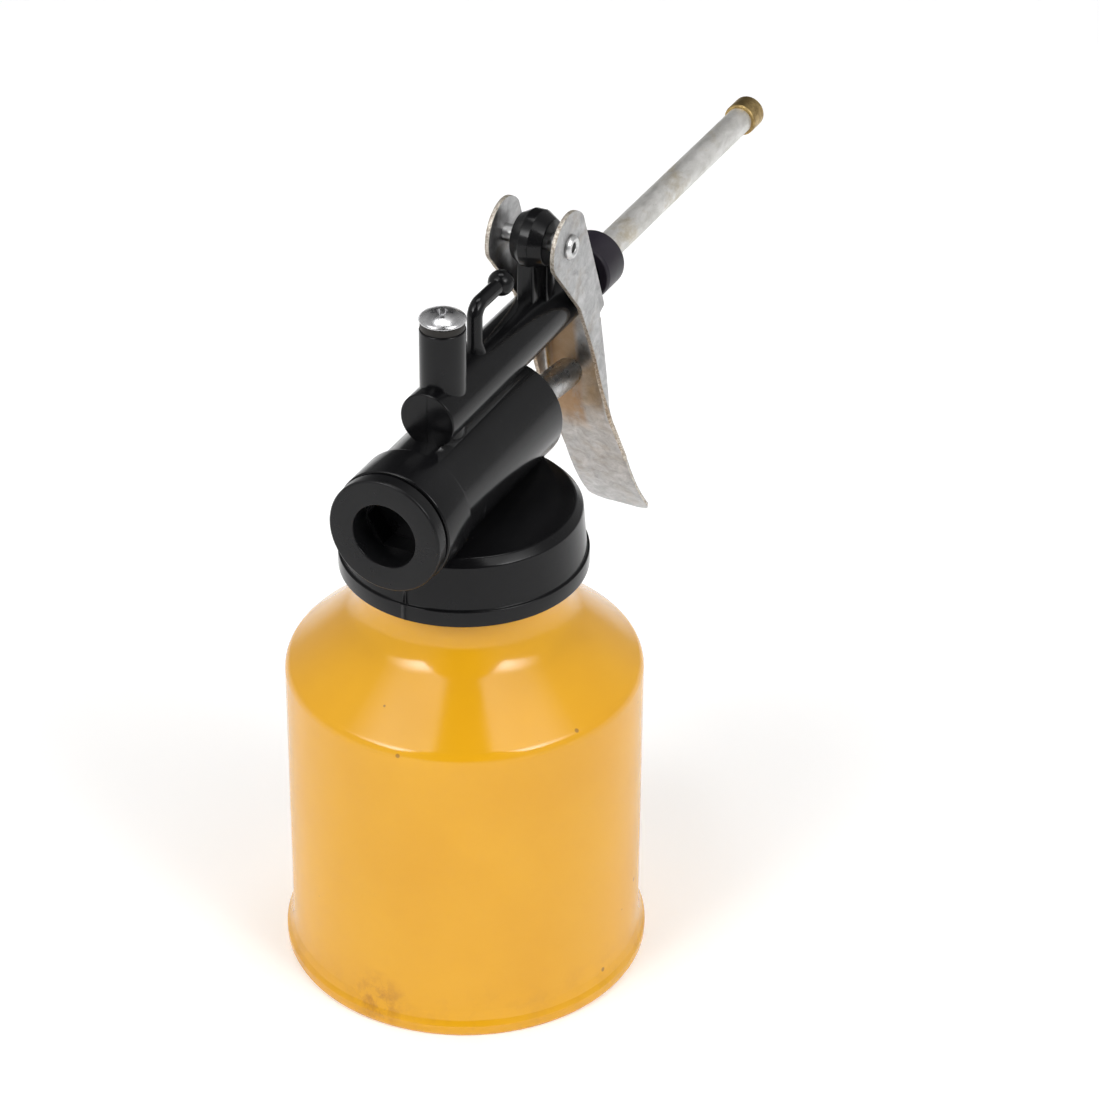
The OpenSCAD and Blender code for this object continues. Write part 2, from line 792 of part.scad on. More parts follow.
can_body();
can_base();
neck_gasket();
pump_head();
end_plug();
plug_seal();
retaining_ring();
piston();
piston_seal();
push_rod();
return_spring();
inlet_seat();
inlet_ball();
suction_tube();
strainer();
outlet_ball();
outlet_spring();
valve_screw();
screw_washer();
spout_nut();
spout_seal();
spout_tube();
nozzle_tip();
lever();
pivot_rivet();
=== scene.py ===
"""Looks of a hand-pump oiler can: painted can, black pump head, zinc lever and a metal spout.

Lengths are millimetres until a mesh is made, and the frame is the CAD's: X to the spout, Z up.
"""
import itertools
import math

import bpy
import bmesh
from mathutils import Matrix, Vector


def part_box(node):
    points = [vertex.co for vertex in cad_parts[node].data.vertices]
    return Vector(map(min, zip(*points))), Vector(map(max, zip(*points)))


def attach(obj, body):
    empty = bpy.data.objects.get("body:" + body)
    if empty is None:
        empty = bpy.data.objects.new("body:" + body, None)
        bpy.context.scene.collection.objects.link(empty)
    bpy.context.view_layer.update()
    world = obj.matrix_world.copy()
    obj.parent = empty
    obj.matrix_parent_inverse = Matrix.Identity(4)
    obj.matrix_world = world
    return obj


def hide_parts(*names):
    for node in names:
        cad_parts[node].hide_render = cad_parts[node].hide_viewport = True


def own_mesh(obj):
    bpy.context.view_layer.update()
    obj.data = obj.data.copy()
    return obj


MM = 0.001
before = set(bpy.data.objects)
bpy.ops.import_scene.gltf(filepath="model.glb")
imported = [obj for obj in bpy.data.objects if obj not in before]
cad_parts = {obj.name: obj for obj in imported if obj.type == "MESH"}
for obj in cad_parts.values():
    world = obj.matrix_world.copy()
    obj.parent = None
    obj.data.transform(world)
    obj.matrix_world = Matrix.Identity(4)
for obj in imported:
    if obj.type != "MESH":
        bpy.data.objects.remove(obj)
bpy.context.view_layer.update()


# ---------------- places read from the CAD

def span(node):
    """Lowest and highest corner of a CAD node, in millimetres."""
    low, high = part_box(node)
    return low / MM, high / MM


def middle(node):
    """Centre of a CAD node's box, in millimetres."""
    low, high = span(node)
    return (low + high) / 2


CAN_HIGH = span("can_body")[1]
BASE_LOW, BASE_HIGH = span("can_base")
HEAD_LOW = span("pump_head")[0]
PLUG_LOW, PLUG_HIGH = span("end_plug")
NUT_LOW, NUT_HIGH = span("spout_nut")
TUBE_LOW, TUBE_HIGH = span("spout_tube")
TIP_LOW, TIP_HIGH = span("nozzle_tip")
LEVER_HIGH = span("lever")[1]
RIVET_HIGH = span("pivot_rivet")[1]
SCREW_LOW, SCREW_HIGH = span("valve_screw")
WASHER_LOW, WASHER_HIGH = span("screw_washer")
ROD_LOW, ROD_HIGH = span("push_rod")
SPRING_LOW, SPRING_HIGH = span("return_spring")
VALVE_SPRING_LOW, VALVE_SPRING_HIGH = span("outlet_spring")

PUMP_Z = middle("end_plug").z
SPOUT_Z = middle("spout_nut").z
VALVE_X = middle("valve_screw").x
PIVOT = middle("pivot_rivet")


# ---------------- mesh helpers

def rounded(points, closed=False, steps=6):
    """Polyline with its corners turned into arcs. A point is (across, along) or (across, along, radius)."""
    path = []
    count = len(points)
    for i, point in enumerate(points):
        here = Vector(point[:2])
        radius = point[2] if len(point) > 2 else 0
        at_end = not closed and i in (0, count - 1)
        if radius == 0 or at_end:
            path.append(here)
            continue
        back = Vector(points[i - 1][:2]) - here
        ahead = Vector(points[(i + 1) % count][:2]) - here
        half = back.angle(ahead) / 2
        if abs(half - math.pi / 2) < 0.01:
            path.append(here)
            continue
        reach = min(radius / math.tan(half), 0.48 * back.length, 0.48 * ahead.length)
        radius = reach * math.tan(half)
        centre = here + (back.normalized() + ahead.normalized()).normalized() * radius / math.sin(half)
        first = here + back.normalized() * reach - centre
        turn = first.angle_signed(here + ahead.normalized() * reach - centre)
        for k in range(steps + 1):
            path.append(centre + Matrix.Rotation(-turn * k / steps, 2) @ first)
    return path


def arc(centre, radius, start, end, steps):
    """Points on a circle from angle start to end, in degrees."""
    angles = [math.radians(start + (end - start) * k / steps) for k in range(steps + 1)]
    return [Vector((centre[0] + radius * math.cos(a), centre[1] + radius * math.sin(a))) for a in angles]


AXES = {
    "X": lambda across, up, along: (along, across, up),
    "Y": lambda across, up, along: (up, along, across),
    "Z": lambda across, up, along: (across, up, along),
}


def revolve(profile, axis="Z", centre=(0, 0, 0), segments=128, closed=False, sweep=None, shape=None):
    """Mesh data turned round an axis from (radius, along) points. sweep = (from, to) in degrees makes a
    capped sliver. shape(radius, angle) can make the section something other than a circle."""
    shape = shape or (lambda radius, angle: radius)
    whole = sweep is None
    first, last = (0, 360) if whole else sweep
    turns = segments if whole else segments + 1
    angles = [math.radians(first + (last - first) * k / segments) for k in range(turns)]
    verts, rings = [], []
    for radius, along in profile:
        if abs(radius) < 1e-6:
            rings.append([len(verts)] * turns)
            verts.append(AXES[axis](0, 0, along))
        else:
            rings.append([len(verts) + k for k in range(turns)])
            for a in angles:
                r = shape(radius, a)
                verts.append(AXES[axis](r * math.cos(a), r * math.sin(a), along))
    faces = []
    pairs = list(zip(rings, rings[1:])) + ([(rings[-1], rings[0])] if closed else [])
    for low, high in pairs:
        for k in range(turns if whole else turns - 1):
            n = (k + 1) % turns
            face = [low[k], low[n], high[n], high[k]]
            face = [v for i, v in enumerate(face) if v not in face[:i]]
            if len(face) > 2:
                faces.append(face)
    if not whole:
        for column in (0, turns - 1):
            cap = [ring[column] for ring in rings]
            faces.append([v for i, v in enumerate(cap) if v not in cap[:i]])
    centre = Vector(centre)
    return [Vector(v) + centre for v in verts], faces


BOX_FACES = [(0, 1, 3, 2), (4, 6, 7, 5), (0, 4, 5, 1), (2, 3, 7, 6), (0, 2, 6, 4), (1, 5, 7, 3)]


def block(low, high):
    """Mesh data of a box between two corners."""
    sides = zip(low, high)
    verts = [Vector(corner) for corner in itertools.product(*sides)]
    return verts, BOX_FACES


def sweep_tube(path, radii, sides=32):
    """Closed round tube along a path of points, with a radius at each point."""
    verts, faces = [], []
    last = len(path) - 1
    tangents = [(path[min(i + 1, last)] - path[max(i - 1, 0)]).normalized() for i in range(last + 1)]
    side = tangents[0].orthogonal().normalized()
    for i, (point, tangent) in enumerate(zip(path, tangents)):
        if i:
            side = tangents[i - 1].rotation_difference(tangent) @ side
        other = tangent.cross(side)
        for k in range(sides):
            a = 2 * math.pi * k / sides
            verts.append(point + (side * math.cos(a) + other * math.sin(a)) * radii[i])
    for i in range(last):
        for k in range(sides):
            n = (k + 1) % sides
            faces.append((i * sides + k, i * sides + n, (i + 1) * sides + n, (i + 1) * sides + k))
    faces.append(tuple(range(sides))[::-1])
    faces.append(tuple(last * sides + k for k in range(sides)))
    return verts, faces


def add_object(name, data):
    """Object with the data, put into the scene."""
    obj = bpy.data.objects.new(name, data)
    bpy.context.scene.collection.objects.link(obj)
    return obj


def build(name, data):
    """Object in metres from mesh data in millimetres, with its faces turned outwards."""
    verts, faces = data
    mesh = bpy.data.meshes.new(name)
    mesh.from_pydata([v * MM for v in verts], [], faces)
    shape = bmesh.new()
    shape.from_mesh(mesh)
    bmesh.ops.remove_doubles(shape, verts=shape.verts, dist=1e-7)
    bmesh.ops.recalc_face_normals(shape, faces=shape.faces)
    shape.to_mesh(mesh)
    shape.free()
    return add_object(name, mesh)


def turned(name, points, axis, centre, segments, steps=6, closed=False):
    """Object turned round an axis from an outline whose corners are rounded."""
    return build(name, revolve(rounded(points, closed, steps), axis, centre, segments, closed))


def bake_modifiers(obj):
    """Puts the result of an object's modifiers into its mesh."""
    bpy.context.view_layer.update()
    evaluated = obj.evaluated_get(bpy.context.evaluated_depsgraph_get())
    mesh = bpy.data.meshes.new_from_object(evaluated)
    obj.modifiers.clear()
    obj.data = mesh


def combine(obj, others, operation="UNION"):
    """Boolean of obj with each of the others, which are then removed."""
    for other in others:
        step = obj.modifiers.new("combine", "BOOLEAN")
        step.operation = operation
        step.solver = "EXACT"
        step.object = other
        bake_modifiers(obj)
        bpy.data.objects.remove(other)
    return obj


def soften(obj, width, segments=3, angle=40):
    """Rounds an object's sharp edges."""
    step = obj.modifiers.new("soften", "BEVEL")
    step.width = width * MM
    step.segments = segments
    step.limit_method = "ANGLE"
    step.angle_limit = math.radians(angle)
    bake_modifiers(obj)
    return obj


def smooth(obj, angle=35):
    """Smooth shading, with edges sharper than the angle kept crisp."""
    for face in obj.data.polygons:
        face.use_smooth = True
    obj.data.set_sharp_from_angle(angle=math.radians(angle))


def finish_piece(obj, body, slot, material, *nodes, angle=35):
    """Shades a piece, gives it its material and body, and hides the CAD nodes it stands for."""
    smooth(obj, angle)
    obj.data.materials.clear()
    obj.data.materials.append(material)
    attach(obj, body)
    if nodes:
        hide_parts(*nodes)
    return obj


# ---------------- material helpers

class Finish:
    """The node tree of one material. Textures are placed in the object's own metres."""

    def __init__(self, name, color, roughness, metallic=0.0):
        self.material = bpy.data.materials.new(name)
        self.material.use_nodes = True
        self.tree = self.material.node_tree
        self.shader = self.tree.nodes["Principled BSDF"]
        self.shader.inputs["Base Color"].default_value = (*color, 1)
        self.shader.inputs["Roughness"].default_value = roughness
        self.shader.inputs["Metallic"].default_value = metallic
        self.place = self.tree.nodes.new("ShaderNodeTexCoord").outputs["Object"]

    def link(self, source, target):
        """Joins an output to an input."""
        self.tree.links.new(source, target)

    def set(self, socket, value):
        """A fixed number or colour on the shader itself."""
        self.shader.inputs[socket].default_value = value

    def drive(self, socket, source):
        """A value that varies over the surface."""
        self.link(source, self.shader.inputs[socket])

    def stretched(self, scale, turn=(0, 0, 0)):
        """The object's coordinates scaled, for streaks and grain."""
        node = self.tree.nodes.new("ShaderNodeMapping")
        node.inputs["Scale"].default_value = scale
        node.inputs["Rotation"].default_value = turn
        self.link(self.place, node.inputs["Vector"])
        return node.outputs["Vector"]

    def noise(self, size, detail=5, rough=0.6, place=None, warp=0.0):
        """Noise whose features are about size millimetres."""
        node = self.tree.nodes.new("ShaderNodeTexNoise")
        node.inputs["Scale"].default_value = 1000 / size
        node.inputs["Detail"].default_value = detail
        node.inputs["Roughness"].default_value = rough
        node.inputs["Distortion"].default_value = warp
        self.link(place or self.place, node.inputs["Vector"])
        return node.outputs["Fac"]

    def cells(self, size, place=None, output="Distance"):
        """Cells about size millimetres across."""
        node = self.tree.nodes.new("ShaderNodeTexVoronoi")
        node.inputs["Scale"].default_value = 1000 / size
        self.link(place or self.place, node.inputs["Vector"])
        return node.outputs[output]

    def remap(self, value, low, high, to_low=0.0, to_high=1.0):
        """Stretches a part of a value's range, and cuts off the rest."""
        node = self.tree.nodes.new("ShaderNodeMapRange")
        node.inputs["From Min"].default_value = low
        node.inputs["From Max"].default_value = high
        node.inputs["To Min"].default_value = to_low
        node.inputs["To Max"].default_value = to_high
        self.link(value, node.inputs["Value"])
        return node.outputs["Result"]

    def math(self, operation, a, b=0.5):
        """Arithmetic on two numbers or sockets."""
        node = self.tree.nodes.new("ShaderNodeMath")
        node.operation = operation
        for socket, value in zip(node.inputs, (a, b)):
            if isinstance(value, (int, float)):
                socket.default_value = value
            else:
                self.link(value, socket)
        return node.outputs["Value"]

    def axis(self, letter):
        """One of the object's coordinates, in metres."""
        node = self.tree.nodes.new("ShaderNodeSeparateXYZ")
        self.link(self.place, node.inputs["Vector"])
        return node.outputs[letter]

    def near(self, point, radius):
        """1 at a point given in millimetres, falling to 0 at the radius."""
        node = self.tree.nodes.new("ShaderNodeVectorMath")
        node.operation = "DISTANCE"
        self.link(self.place, node.inputs[0])
        node.inputs[1].default_value = Vector(point) * MM
        return self.remap(node.outputs["Value"], 0, radius * MM, 1, 0)

    def blend(self, factor, first, second):
        """Mix of two colours. A colour is a triple or a socket."""
        node = self.tree.nodes.new("ShaderNodeMix")
        node.data_type = "RGBA"
        self.link(factor, node.inputs["Factor"])
        for socket, value in ((node.inputs[6], first), (node.inputs[7], second)):
            if isinstance(value, tuple):
                socket.default_value = (*value, 1)
            else:
                self.link(value, socket)
        return node.outputs[2]

    def layer(self, color, tint, mask, strength):
        """Lays a tint over a colour where the mask is 1."""
        return self.blend(self.math("MULTIPLY", mask, strength), color, tint)

    def bump(self, height, depth, strength=1.0):
        """Bump of depth millimetres from a height of 0 to 1."""
        node = self.tree.nodes.new("ShaderNodeBump")
        node.inputs["Distance"].default_value = depth * MM
        node.inputs["Strength"].default_value = strength
        self.link(height, node.inputs["Height"])
        self.drive("Normal", node.outputs["Normal"])


def specks(finish, size, share, place=None):
    """Small separate dots: 1 in a dot, 0 elsewhere. share is how many cells have one."""
    dots = finish.remap(finish.cells(size, place), 0.16, 0.10)
    chosen = finish.remap(finish.cells(size, place, "Color"), 1 - share, 1 - share + 0.001)
    return finish.math("MULTIPLY", dots, chosen)


# ---------------- materials

PAINT_LIGHT = (0.745, 0.37, 0.010)
PAINT_DEEP = (0.71, 0.34, 0.007)
GRIME_TOP = 12
STAIN_AT = (-32.9, 1.2, 4.6)
STAIN_SIZE = 7


def paint():
    """Glossy orange-yellow paint over sheet steel, a little dirty near the base."""
    f = Finish("can_paint", (0.80, 0.40, 0.030), 0.2)
    broad = f.remap(f.noise(28, 3, 0.5), 0.35, 0.65)
    color = f.blend(broad, PAINT_LIGHT, PAINT_DEEP)
    low = f.remap(f.axis("Z"), GRIME_TOP * MM, 0.0)
    grime = f.math("MULTIPLY", low, f.remap(f.noise(6, 6, 0.65), 0.48, 0.7))
    color = f.layer(color, (0.45, 0.20, 0.02), grime, 0.35)
    stain_spot = f.near(STAIN_AT, STAIN_SIZE)
    stain = f.math("MULTIPLY", stain_spot, f.remap(f.noise(3.2, 7, 0.7), 0.46, 0.62))
    color = f.layer(color, (0.36, 0.13, 0.01), stain, 0.75)
    smudge = f.remap(f.noise(9, 8, 0.75), 0.66, 0.74)
    color = f.layer(color, (0.55, 0.27, 0.03), smudge, 0.25)
    dark = f.math("MAXIMUM", specks(f, 3.2, 0.10), specks(f, 1.9, 0.05))
    color = f.layer(color, (0.20, 0.09, 0.02), dark, 0.7)
    f.drive("Base Color", color)
    f.drive("Roughness", f.remap(f.noise(14, 5, 0.6), 0.3, 0.7, 0.10, 0.20))
    ripple = f.math("ADD", f.noise(1.6, 2, 0.5), f.math("MULTIPLY", f.noise(11, 2, 0.5), 2.5))
    f.bump(ripple, 0.012, 0.55)
    return f.material


def black_moulding(name, color, gloss, dust=0.03):
    """Moulded plastic with dust, faint scuffs and uneven gloss."""
    f = Finish(name, color, gloss)
    scuff = f.remap(f.noise(1.2, 8, 0.75, f.stretched((1, 1, 0.18), turn=(0.5, 0.3, 0))), 0.62, 0.72)
    haze = f.remap(f.noise(12, 6, 0.65), 0.42, 0.68)
    tint = f.layer(color, tuple(c * 1.9 + 0.002 for c in color), haze, 0.35)
    tint = f.layer(tint, (0.10, 0.10, 0.105), scuff, 0.12)
    dots = f.math("MAXIMUM", specks(f, 2.4, dust), specks(f, 1.2, dust * 0.6))
    tint = f.layer(tint, (0.34, 0.34, 0.33), dots, 0.5)
    f.drive("Base Color", tint)
    f.set("Specular IOR Level", 0.21)
    rough = f.remap(f.noise(7, 6, 0.6), 0.3, 0.7, gloss * 0.85, gloss * 1.3)
    rough = f.math("ADD", rough, f.math("MULTIPLY", f.math("MAXIMUM", scuff, dots), 0.18))
    f.drive("Roughness", rough)
    f.bump(f.math("ADD", f.noise(0.7, 3, 0.5), f.math("MULTIPLY", f.noise(5, 2, 0.5), 3)), 0.006, 0.6)
    return f.material


RUST_MIDDLE = 1.9
RUST_SIDES = (3.4, 2.2)
RUST_FOOT = (82, 88)


def zinc():
    """Zinc-plated sheet with mottled patches, specks, and a rusty band down the upper part of the web."""
    f = Finish("lever_zinc", (0.52, 0.52, 0.51), 0.4, 1.0)
    patch = f.remap(f.noise(2.6, 7, 0.72, warp=0.6), 0.34, 0.66)
    spangle = f.remap(f.cells(2.2, output="Color"), 0.0, 1.0)
    color = f.blend(patch, (0.27, 0.27, 0.27), (0.50, 0.50, 0.50))
    color = f.layer(color, (0.70, 0.70, 0.71), spangle, 0.16)
    dirt = f.remap(f.noise(5.5, 8, 0.7), 0.53, 0.64)
    color = f.layer(color, (0.30, 0.25, 0.19), dirt, 0.35)
    across = f.math("ABSOLUTE", f.math("SUBTRACT", f.axis("Y"), RUST_MIDDLE * MM), 0)
    band = f.remap(across, *(edge * MM for edge in RUST_SIDES))
    above = f.remap(f.axis("Z"), *(height * MM for height in RUST_FOOT))
    streaky = f.remap(f.noise(3.4, 7, 0.7, f.stretched((1, 1, 0.42))), 0.22, 0.46)
    rust = f.math("MULTIPLY", f.math("MULTIPLY", band, above), streaky)
    color = f.layer(color, (0.42, 0.26, 0.12), rust, 0.8)
    dark = f.math("MAXIMUM", specks(f, 1.8, 0.12), specks(f, 3.4, 0.14))
    color = f.layer(color, (0.10, 0.075, 0.05), dark, 0.75)
    f.drive("Base Color", color)
    rough = f.remap(f.noise(1.8, 6, 0.7), 0.3, 0.7, 0.30, 0.52)
    f.drive("Roughness", f.math("ADD", rough, f.math("MULTIPLY", rust, 0.2)))
    f.drive("Metallic", f.remap(rust, 0, 1, 1.0, 0.45))
    f.bump(f.math("ADD", f.noise(0.6, 5, 0.65), f.math("MULTIPLY", f.noise(4, 3, 0.5), 2)), 0.02, 0.5)
    return f.material


def cut_edge():
    """Raw sheared edge of the lever's sheet, slightly browned."""
    f = Finish("lever_cut_edge", (0.45, 0.40, 0.34), 0.45, 0.8)
    grain = f.remap(f.noise(0.5, 6, 0.7), 0.35, 0.65)
    f.drive("Base Color", f.blend(grain, (0.28, 0.23, 0.18), (0.72, 0.68, 0.61)))
    f.drive("Roughness", f.remap(grain, 0, 1, 0.65, 0.42))
    f.bump(grain, 0.03, 0.6)
    return f.material


def bare_steel(name, color, roughness, stain=0.3, stretch=(1, 1, 1)):
    """Drawn or plated steel with fine grain and a few dark marks."""
    f = Finish(name, color, roughness, 1.0)
    grain = f.remap(f.noise(0.8, 6, 0.7, f.stretched(stretch)), 0.3, 0.7)
    cloud = f.remap(f.noise(3.0, 6, 0.65), 0.45, 0.68)
    tone = f.blend(grain, tuple(c * 0.82 for c in color), tuple(min(1, c * 1.12) for c in color))
    tone = f.layer(tone, (0.14, 0.12, 0.10), cloud, stain)
    f.drive("Base Color", tone)
    f.drive("Roughness", f.remap(cloud, 0, 1, roughness, roughness + 0.18))
    f.bump(grain, 0.006, 0.6)
    return f.material


def alloy():
    """Dull cast-grey spout tube with yellow-brown stains and dark specks."""
    f = Finish("spout_alloy", (0.66, 0.65, 0.62), 0.5, 0.75)
    patch = f.remap(f.noise(3.6, 7, 0.7, f.stretched((0.5, 1, 1)), 0.4), 0.35, 0.65)
    color = f.blend(patch, (0.56, 0.55, 0.52), (0.80, 0.79, 0.77))
    stain = f.remap(f.noise(8, 7, 0.7, f.stretched((0.7, 1, 1))), 0.52, 0.68)
    color = f.layer(color, (0.42, 0.34, 0.19), stain, 0.6)
    dark = f.remap(f.noise(1.3, 6, 0.75), 0.64, 0.72)
    dots = f.math("MAXIMUM", specks(f, 2.0, 0.12), f.math("MULTIPLY", dark, 0.7))
    color = f.layer(color, (0.12, 0.095, 0.05), dots, 0.7)
    f.drive("Base Color", color)
    f.drive("Roughness", f.remap(f.noise(2.4, 6, 0.7), 0.3, 0.7, 0.40, 0.62))
    f.bump(f.math("ADD", f.noise(0.5, 5, 0.7), f.math("MULTIPLY", f.noise(3, 3, 0.5), 2)), 0.03, 0.5)
    return f.material


def brass(name, color, tarnish, roughness):
    """Brass with brown tarnish in patches."""
    f = Finish(name, color, roughness, 1.0)
    patch = f.remap(f.noise(1.6, 6, 0.7), 0.40, 0.62)
    tone = f.layer(color, (0.16, 0.105, 0.045), patch, tarnish)
    dots = specks(f, 0.9, 0.12)
    tone = f.layer(tone, (0.06, 0.04, 0.02), dots, 0.7)
    f.drive("Base Color", tone)
    f.drive("Roughness", f.remap(patch, 0, 1, roughness, roughness + 0.15))
    f.bump(f.noise(0.4, 5, 0.65), 0.015, 0.5)
    return f.material


def rubber():
    """Matt black seal rubber with a grey bloom."""
    f = Finish("seal_rubber", (0.02, 0.02, 0.02), 0.7)
    bloom = f.remap(f.noise(1.5, 6, 0.7), 0.4, 0.7)
    f.drive("Base Color", f.blend(bloom, (0.016, 0.016, 0.016), (0.05, 0.05, 0.048)))
    f.bump(f.noise(0.3, 4, 0.6), 0.02, 0.5)
    return f.material


def clear_plastic(name, color):
    """Milky plastic with faint clouding."""
    f = Finish(name, color, 0.4)
    cloud = f.remap(f.noise(4, 5, 0.6), 0.35, 0.7)
    f.drive("Base Color", f.blend(cloud, color, tuple(c * 0.85 for c in color)))
    f.set("Subsurface Weight", 0.15)
    f.set("Subsurface Radius", (0.001, 0.001, 0.001))
    f.bump(f.noise(1.0, 4, 0.6), 0.01, 0.5)
    return f.material


# ---------------- can

SHEET_WALL = 0.5
CAN_WALL_R = BASE_HIGH.x + SHEET_WALL
CAN_NECK_R = 18.3
NECK_TURN = 9.6
SHOULDER_Z = 59.6
SHOULDER_TURN = 3.0
SHOULDER_RISE = 41
THREAD_HEIGHTS = (84.4, 87.4)
THREAD_R = 0.55
THREAD_SINK = 0.15


def can_outline(inset):
    """Can wall, shoulder and neck from the bottom up as (radius, height), set in by inset."""
    turned = 90 - SHOULDER_RISE
    rise = math.radians(SHOULDER_RISE)
    bend = arc((CAN_WALL_R - SHOULDER_TURN, SHOULDER_Z), SHOULDER_TURN - inset, 0, turned, 12)
    top = Vector((CAN_WALL_R - SHOULDER_TURN + SHOULDER_TURN * math.sin(rise),
                  SHOULDER_Z + SHOULDER_TURN * math.cos(rise)))
    turn_r = CAN_NECK_R + NECK_TURN
    turn_z = top.y + (top.x - turn_r) * math.tan(rise) + NECK_TURN / math.cos(rise)
    neck = arc((turn_r, turn_z), NECK_TURN + inset, 180 + turned, 180, 16)
    return bend + neck


def can_shell(material):
    """Drawn sheet-steel can: seam bead, wall, shoulder, neck with two thread rolls and a curled lip."""
    bead_r = CAN_HIGH.x
    top = CAN_HIGH.z
    outer = rounded([
        (CAN_WALL_R - SHEET_WALL, 0.15), (CAN_WALL_R - 0.3, 0.0, 0.2), (bead_r - 0.35, 0.0, 0.9),
        (bead_r, 0.9, 0.7), (bead_r, 2.3, 0.8), (bead_r - 0.55, 3.3, 1.2), (CAN_WALL_R + 0.28, 4.9, 2.4),
        (CAN_WALL_R, 7.0)], steps=6)
    rolls = []
    for z in THREAD_HEIGHTS:
        rolls += arc((CAN_NECK_R - THREAD_SINK, z), THREAD_R, -74, 74, 6)
    curl = SHEET_WALL / 2
    lip = arc((CAN_NECK_R - curl, top - curl), curl, 0, 180, 6)
    inner = can_outline(SHEET_WALL)[::-1]
    profile = outer + can_outline(0) + rolls + lip + inner
    return finish_piece(build("can_shell", revolve(profile, closed=True, segments=192)),
                        "can", "can_paint", material, "can_body", angle=50)


def can_floor(material):
    """Bottom sheet with its seam ring and two stamped steps."""
    r = BASE_HIGH.x
    low = BASE_LOW.z
    floor = BASE_HIGH.z
    t = SHEET_WALL
    under = [(0, floor - t), (r * 0.55, floor - t, 0.4), (r * 0.55 + 0.6, floor - t - 0.5, 0.4),
             (r - 2.4, floor - t - 0.5, 0.4), (r - 1.8, floor - t, 0.4), (r - 0.5, floor - t, 0.3),
             (r - 0.5, low + 0.05), (r - 0.25, low, 0.15), (r, low + 0.05), (r, floor, 0.3)]
    over = [(r - 0.7, floor, 0.3), (r - 1.9, floor, 0.3), (r - 2.5, floor - 0.5, 0.3),
            (r * 0.55 + 0.6, floor - 0.5, 0.3), (r * 0.55, floor, 0.3), (0, floor)]
    base = turned("can_floor", under + over, "Z", (0, 0, 0), 160, steps=4)
    return finish_piece(base, "can", "can_paint", material, "can_base", angle=50)


# ---------------- pump head

CAP_TOP = 94.7
CAP_CEILING = 92.3
CAP_BORE_R = 19.2
CAP_R = 21.9
CAP_TOP_R = 21.2
CAP_CHAMFER = 1.3
FLANGE_Z = 81.9
FLANGE_R = 22.4
FLANGE_H = 3.2
PUMP_R = 10.05
PUMP_BORE_R = 7.6
PUMP_FRONT = 19.3
COLLAR_R = 10.85
COLLAR_FRONT = -17.6
PLUG_FLANGE_W = 3.2
COLLAR_REAR = PLUG_LOW.x + PLUG_FLANGE_W
MOUTH_R = 8.7
MOUTH_FRONT = PLUG_HIGH.x - 1.9
CAVITY_SLACK = 0.05
TUBE_R = 5.15
TUBE_REAR = -13.3
TUBE_FRONT = 44.0
TUBE_NECK_R = 3.9
TUBE_NECK_FRONT = 49.4
WEB_HALF = 1.9
BOSS_R = 4.05
BOSS_TOP = WASHER_LOW.z
BOSS_FOOT = PUMP_Z + PUMP_BORE_R + 0.6
BOSS_HOLE_R = 2.55
BOSS_HOLE_DEPTH = 3
INLET_R = 4.8
INLET_HOLE_R = 2.6
INLET_HOLE_DEPTH = 6
POST_X = 28.6
BARREL_HALF = 3.2
BARREL_END_R = 4.2
BARREL_MID_R = 5.5
POST_HALF_LONG = 4.8
POST_HALF_WIDE = 2.8
POST_HALF_WEB = 1.65
PIN_HOLE_R = 1.65
SEAM = 0.07
SEAM_ROOT = 0.2


def cap_profile(extra=0.0):
    """Section of the cap's outside from its ceiling down, out and up to its top."""
    return rounded([
        (0, CAP_CEILING), (CAP_BORE_R, CAP_CEILING, 0.5), (CAP_BORE_R, FLANGE_Z + 0.5, 0.2),
        (CAP_BORE_R + 0.5, FLANGE_Z, 0.2),
        (FLANGE_R + extra, FLANGE_Z, 0.3), (FLANGE_R + extra, FLANGE_Z + FLANGE_H, 0.4),
        (CAP_R + extra, FLANGE_Z + FLANGE_H, 0.25), (CAP_TOP_R + extra, CAP_TOP - CAP_CHAMFER, 0.7),
        (CAP_TOP_R - CAP_CHAMFER + extra, CAP_TOP + extra * 0.4, 0.7), (0, CAP_TOP + extra * 0.4)], steps=8)


def seams_on_x(x0, x1, z, radius):
    """Parting line along a cylinder that lies along X: fine ridges on its top and its underside."""
    half = SEAM_ROOT + SEAM
    ridges = []
    for side in (-1, 1):
        root = z + side * (radius - SEAM_ROOT)
        ridges.append(build("seam", block((x0, -SEAM, root - half), (x1, SEAM, root + half))))
    return ridges


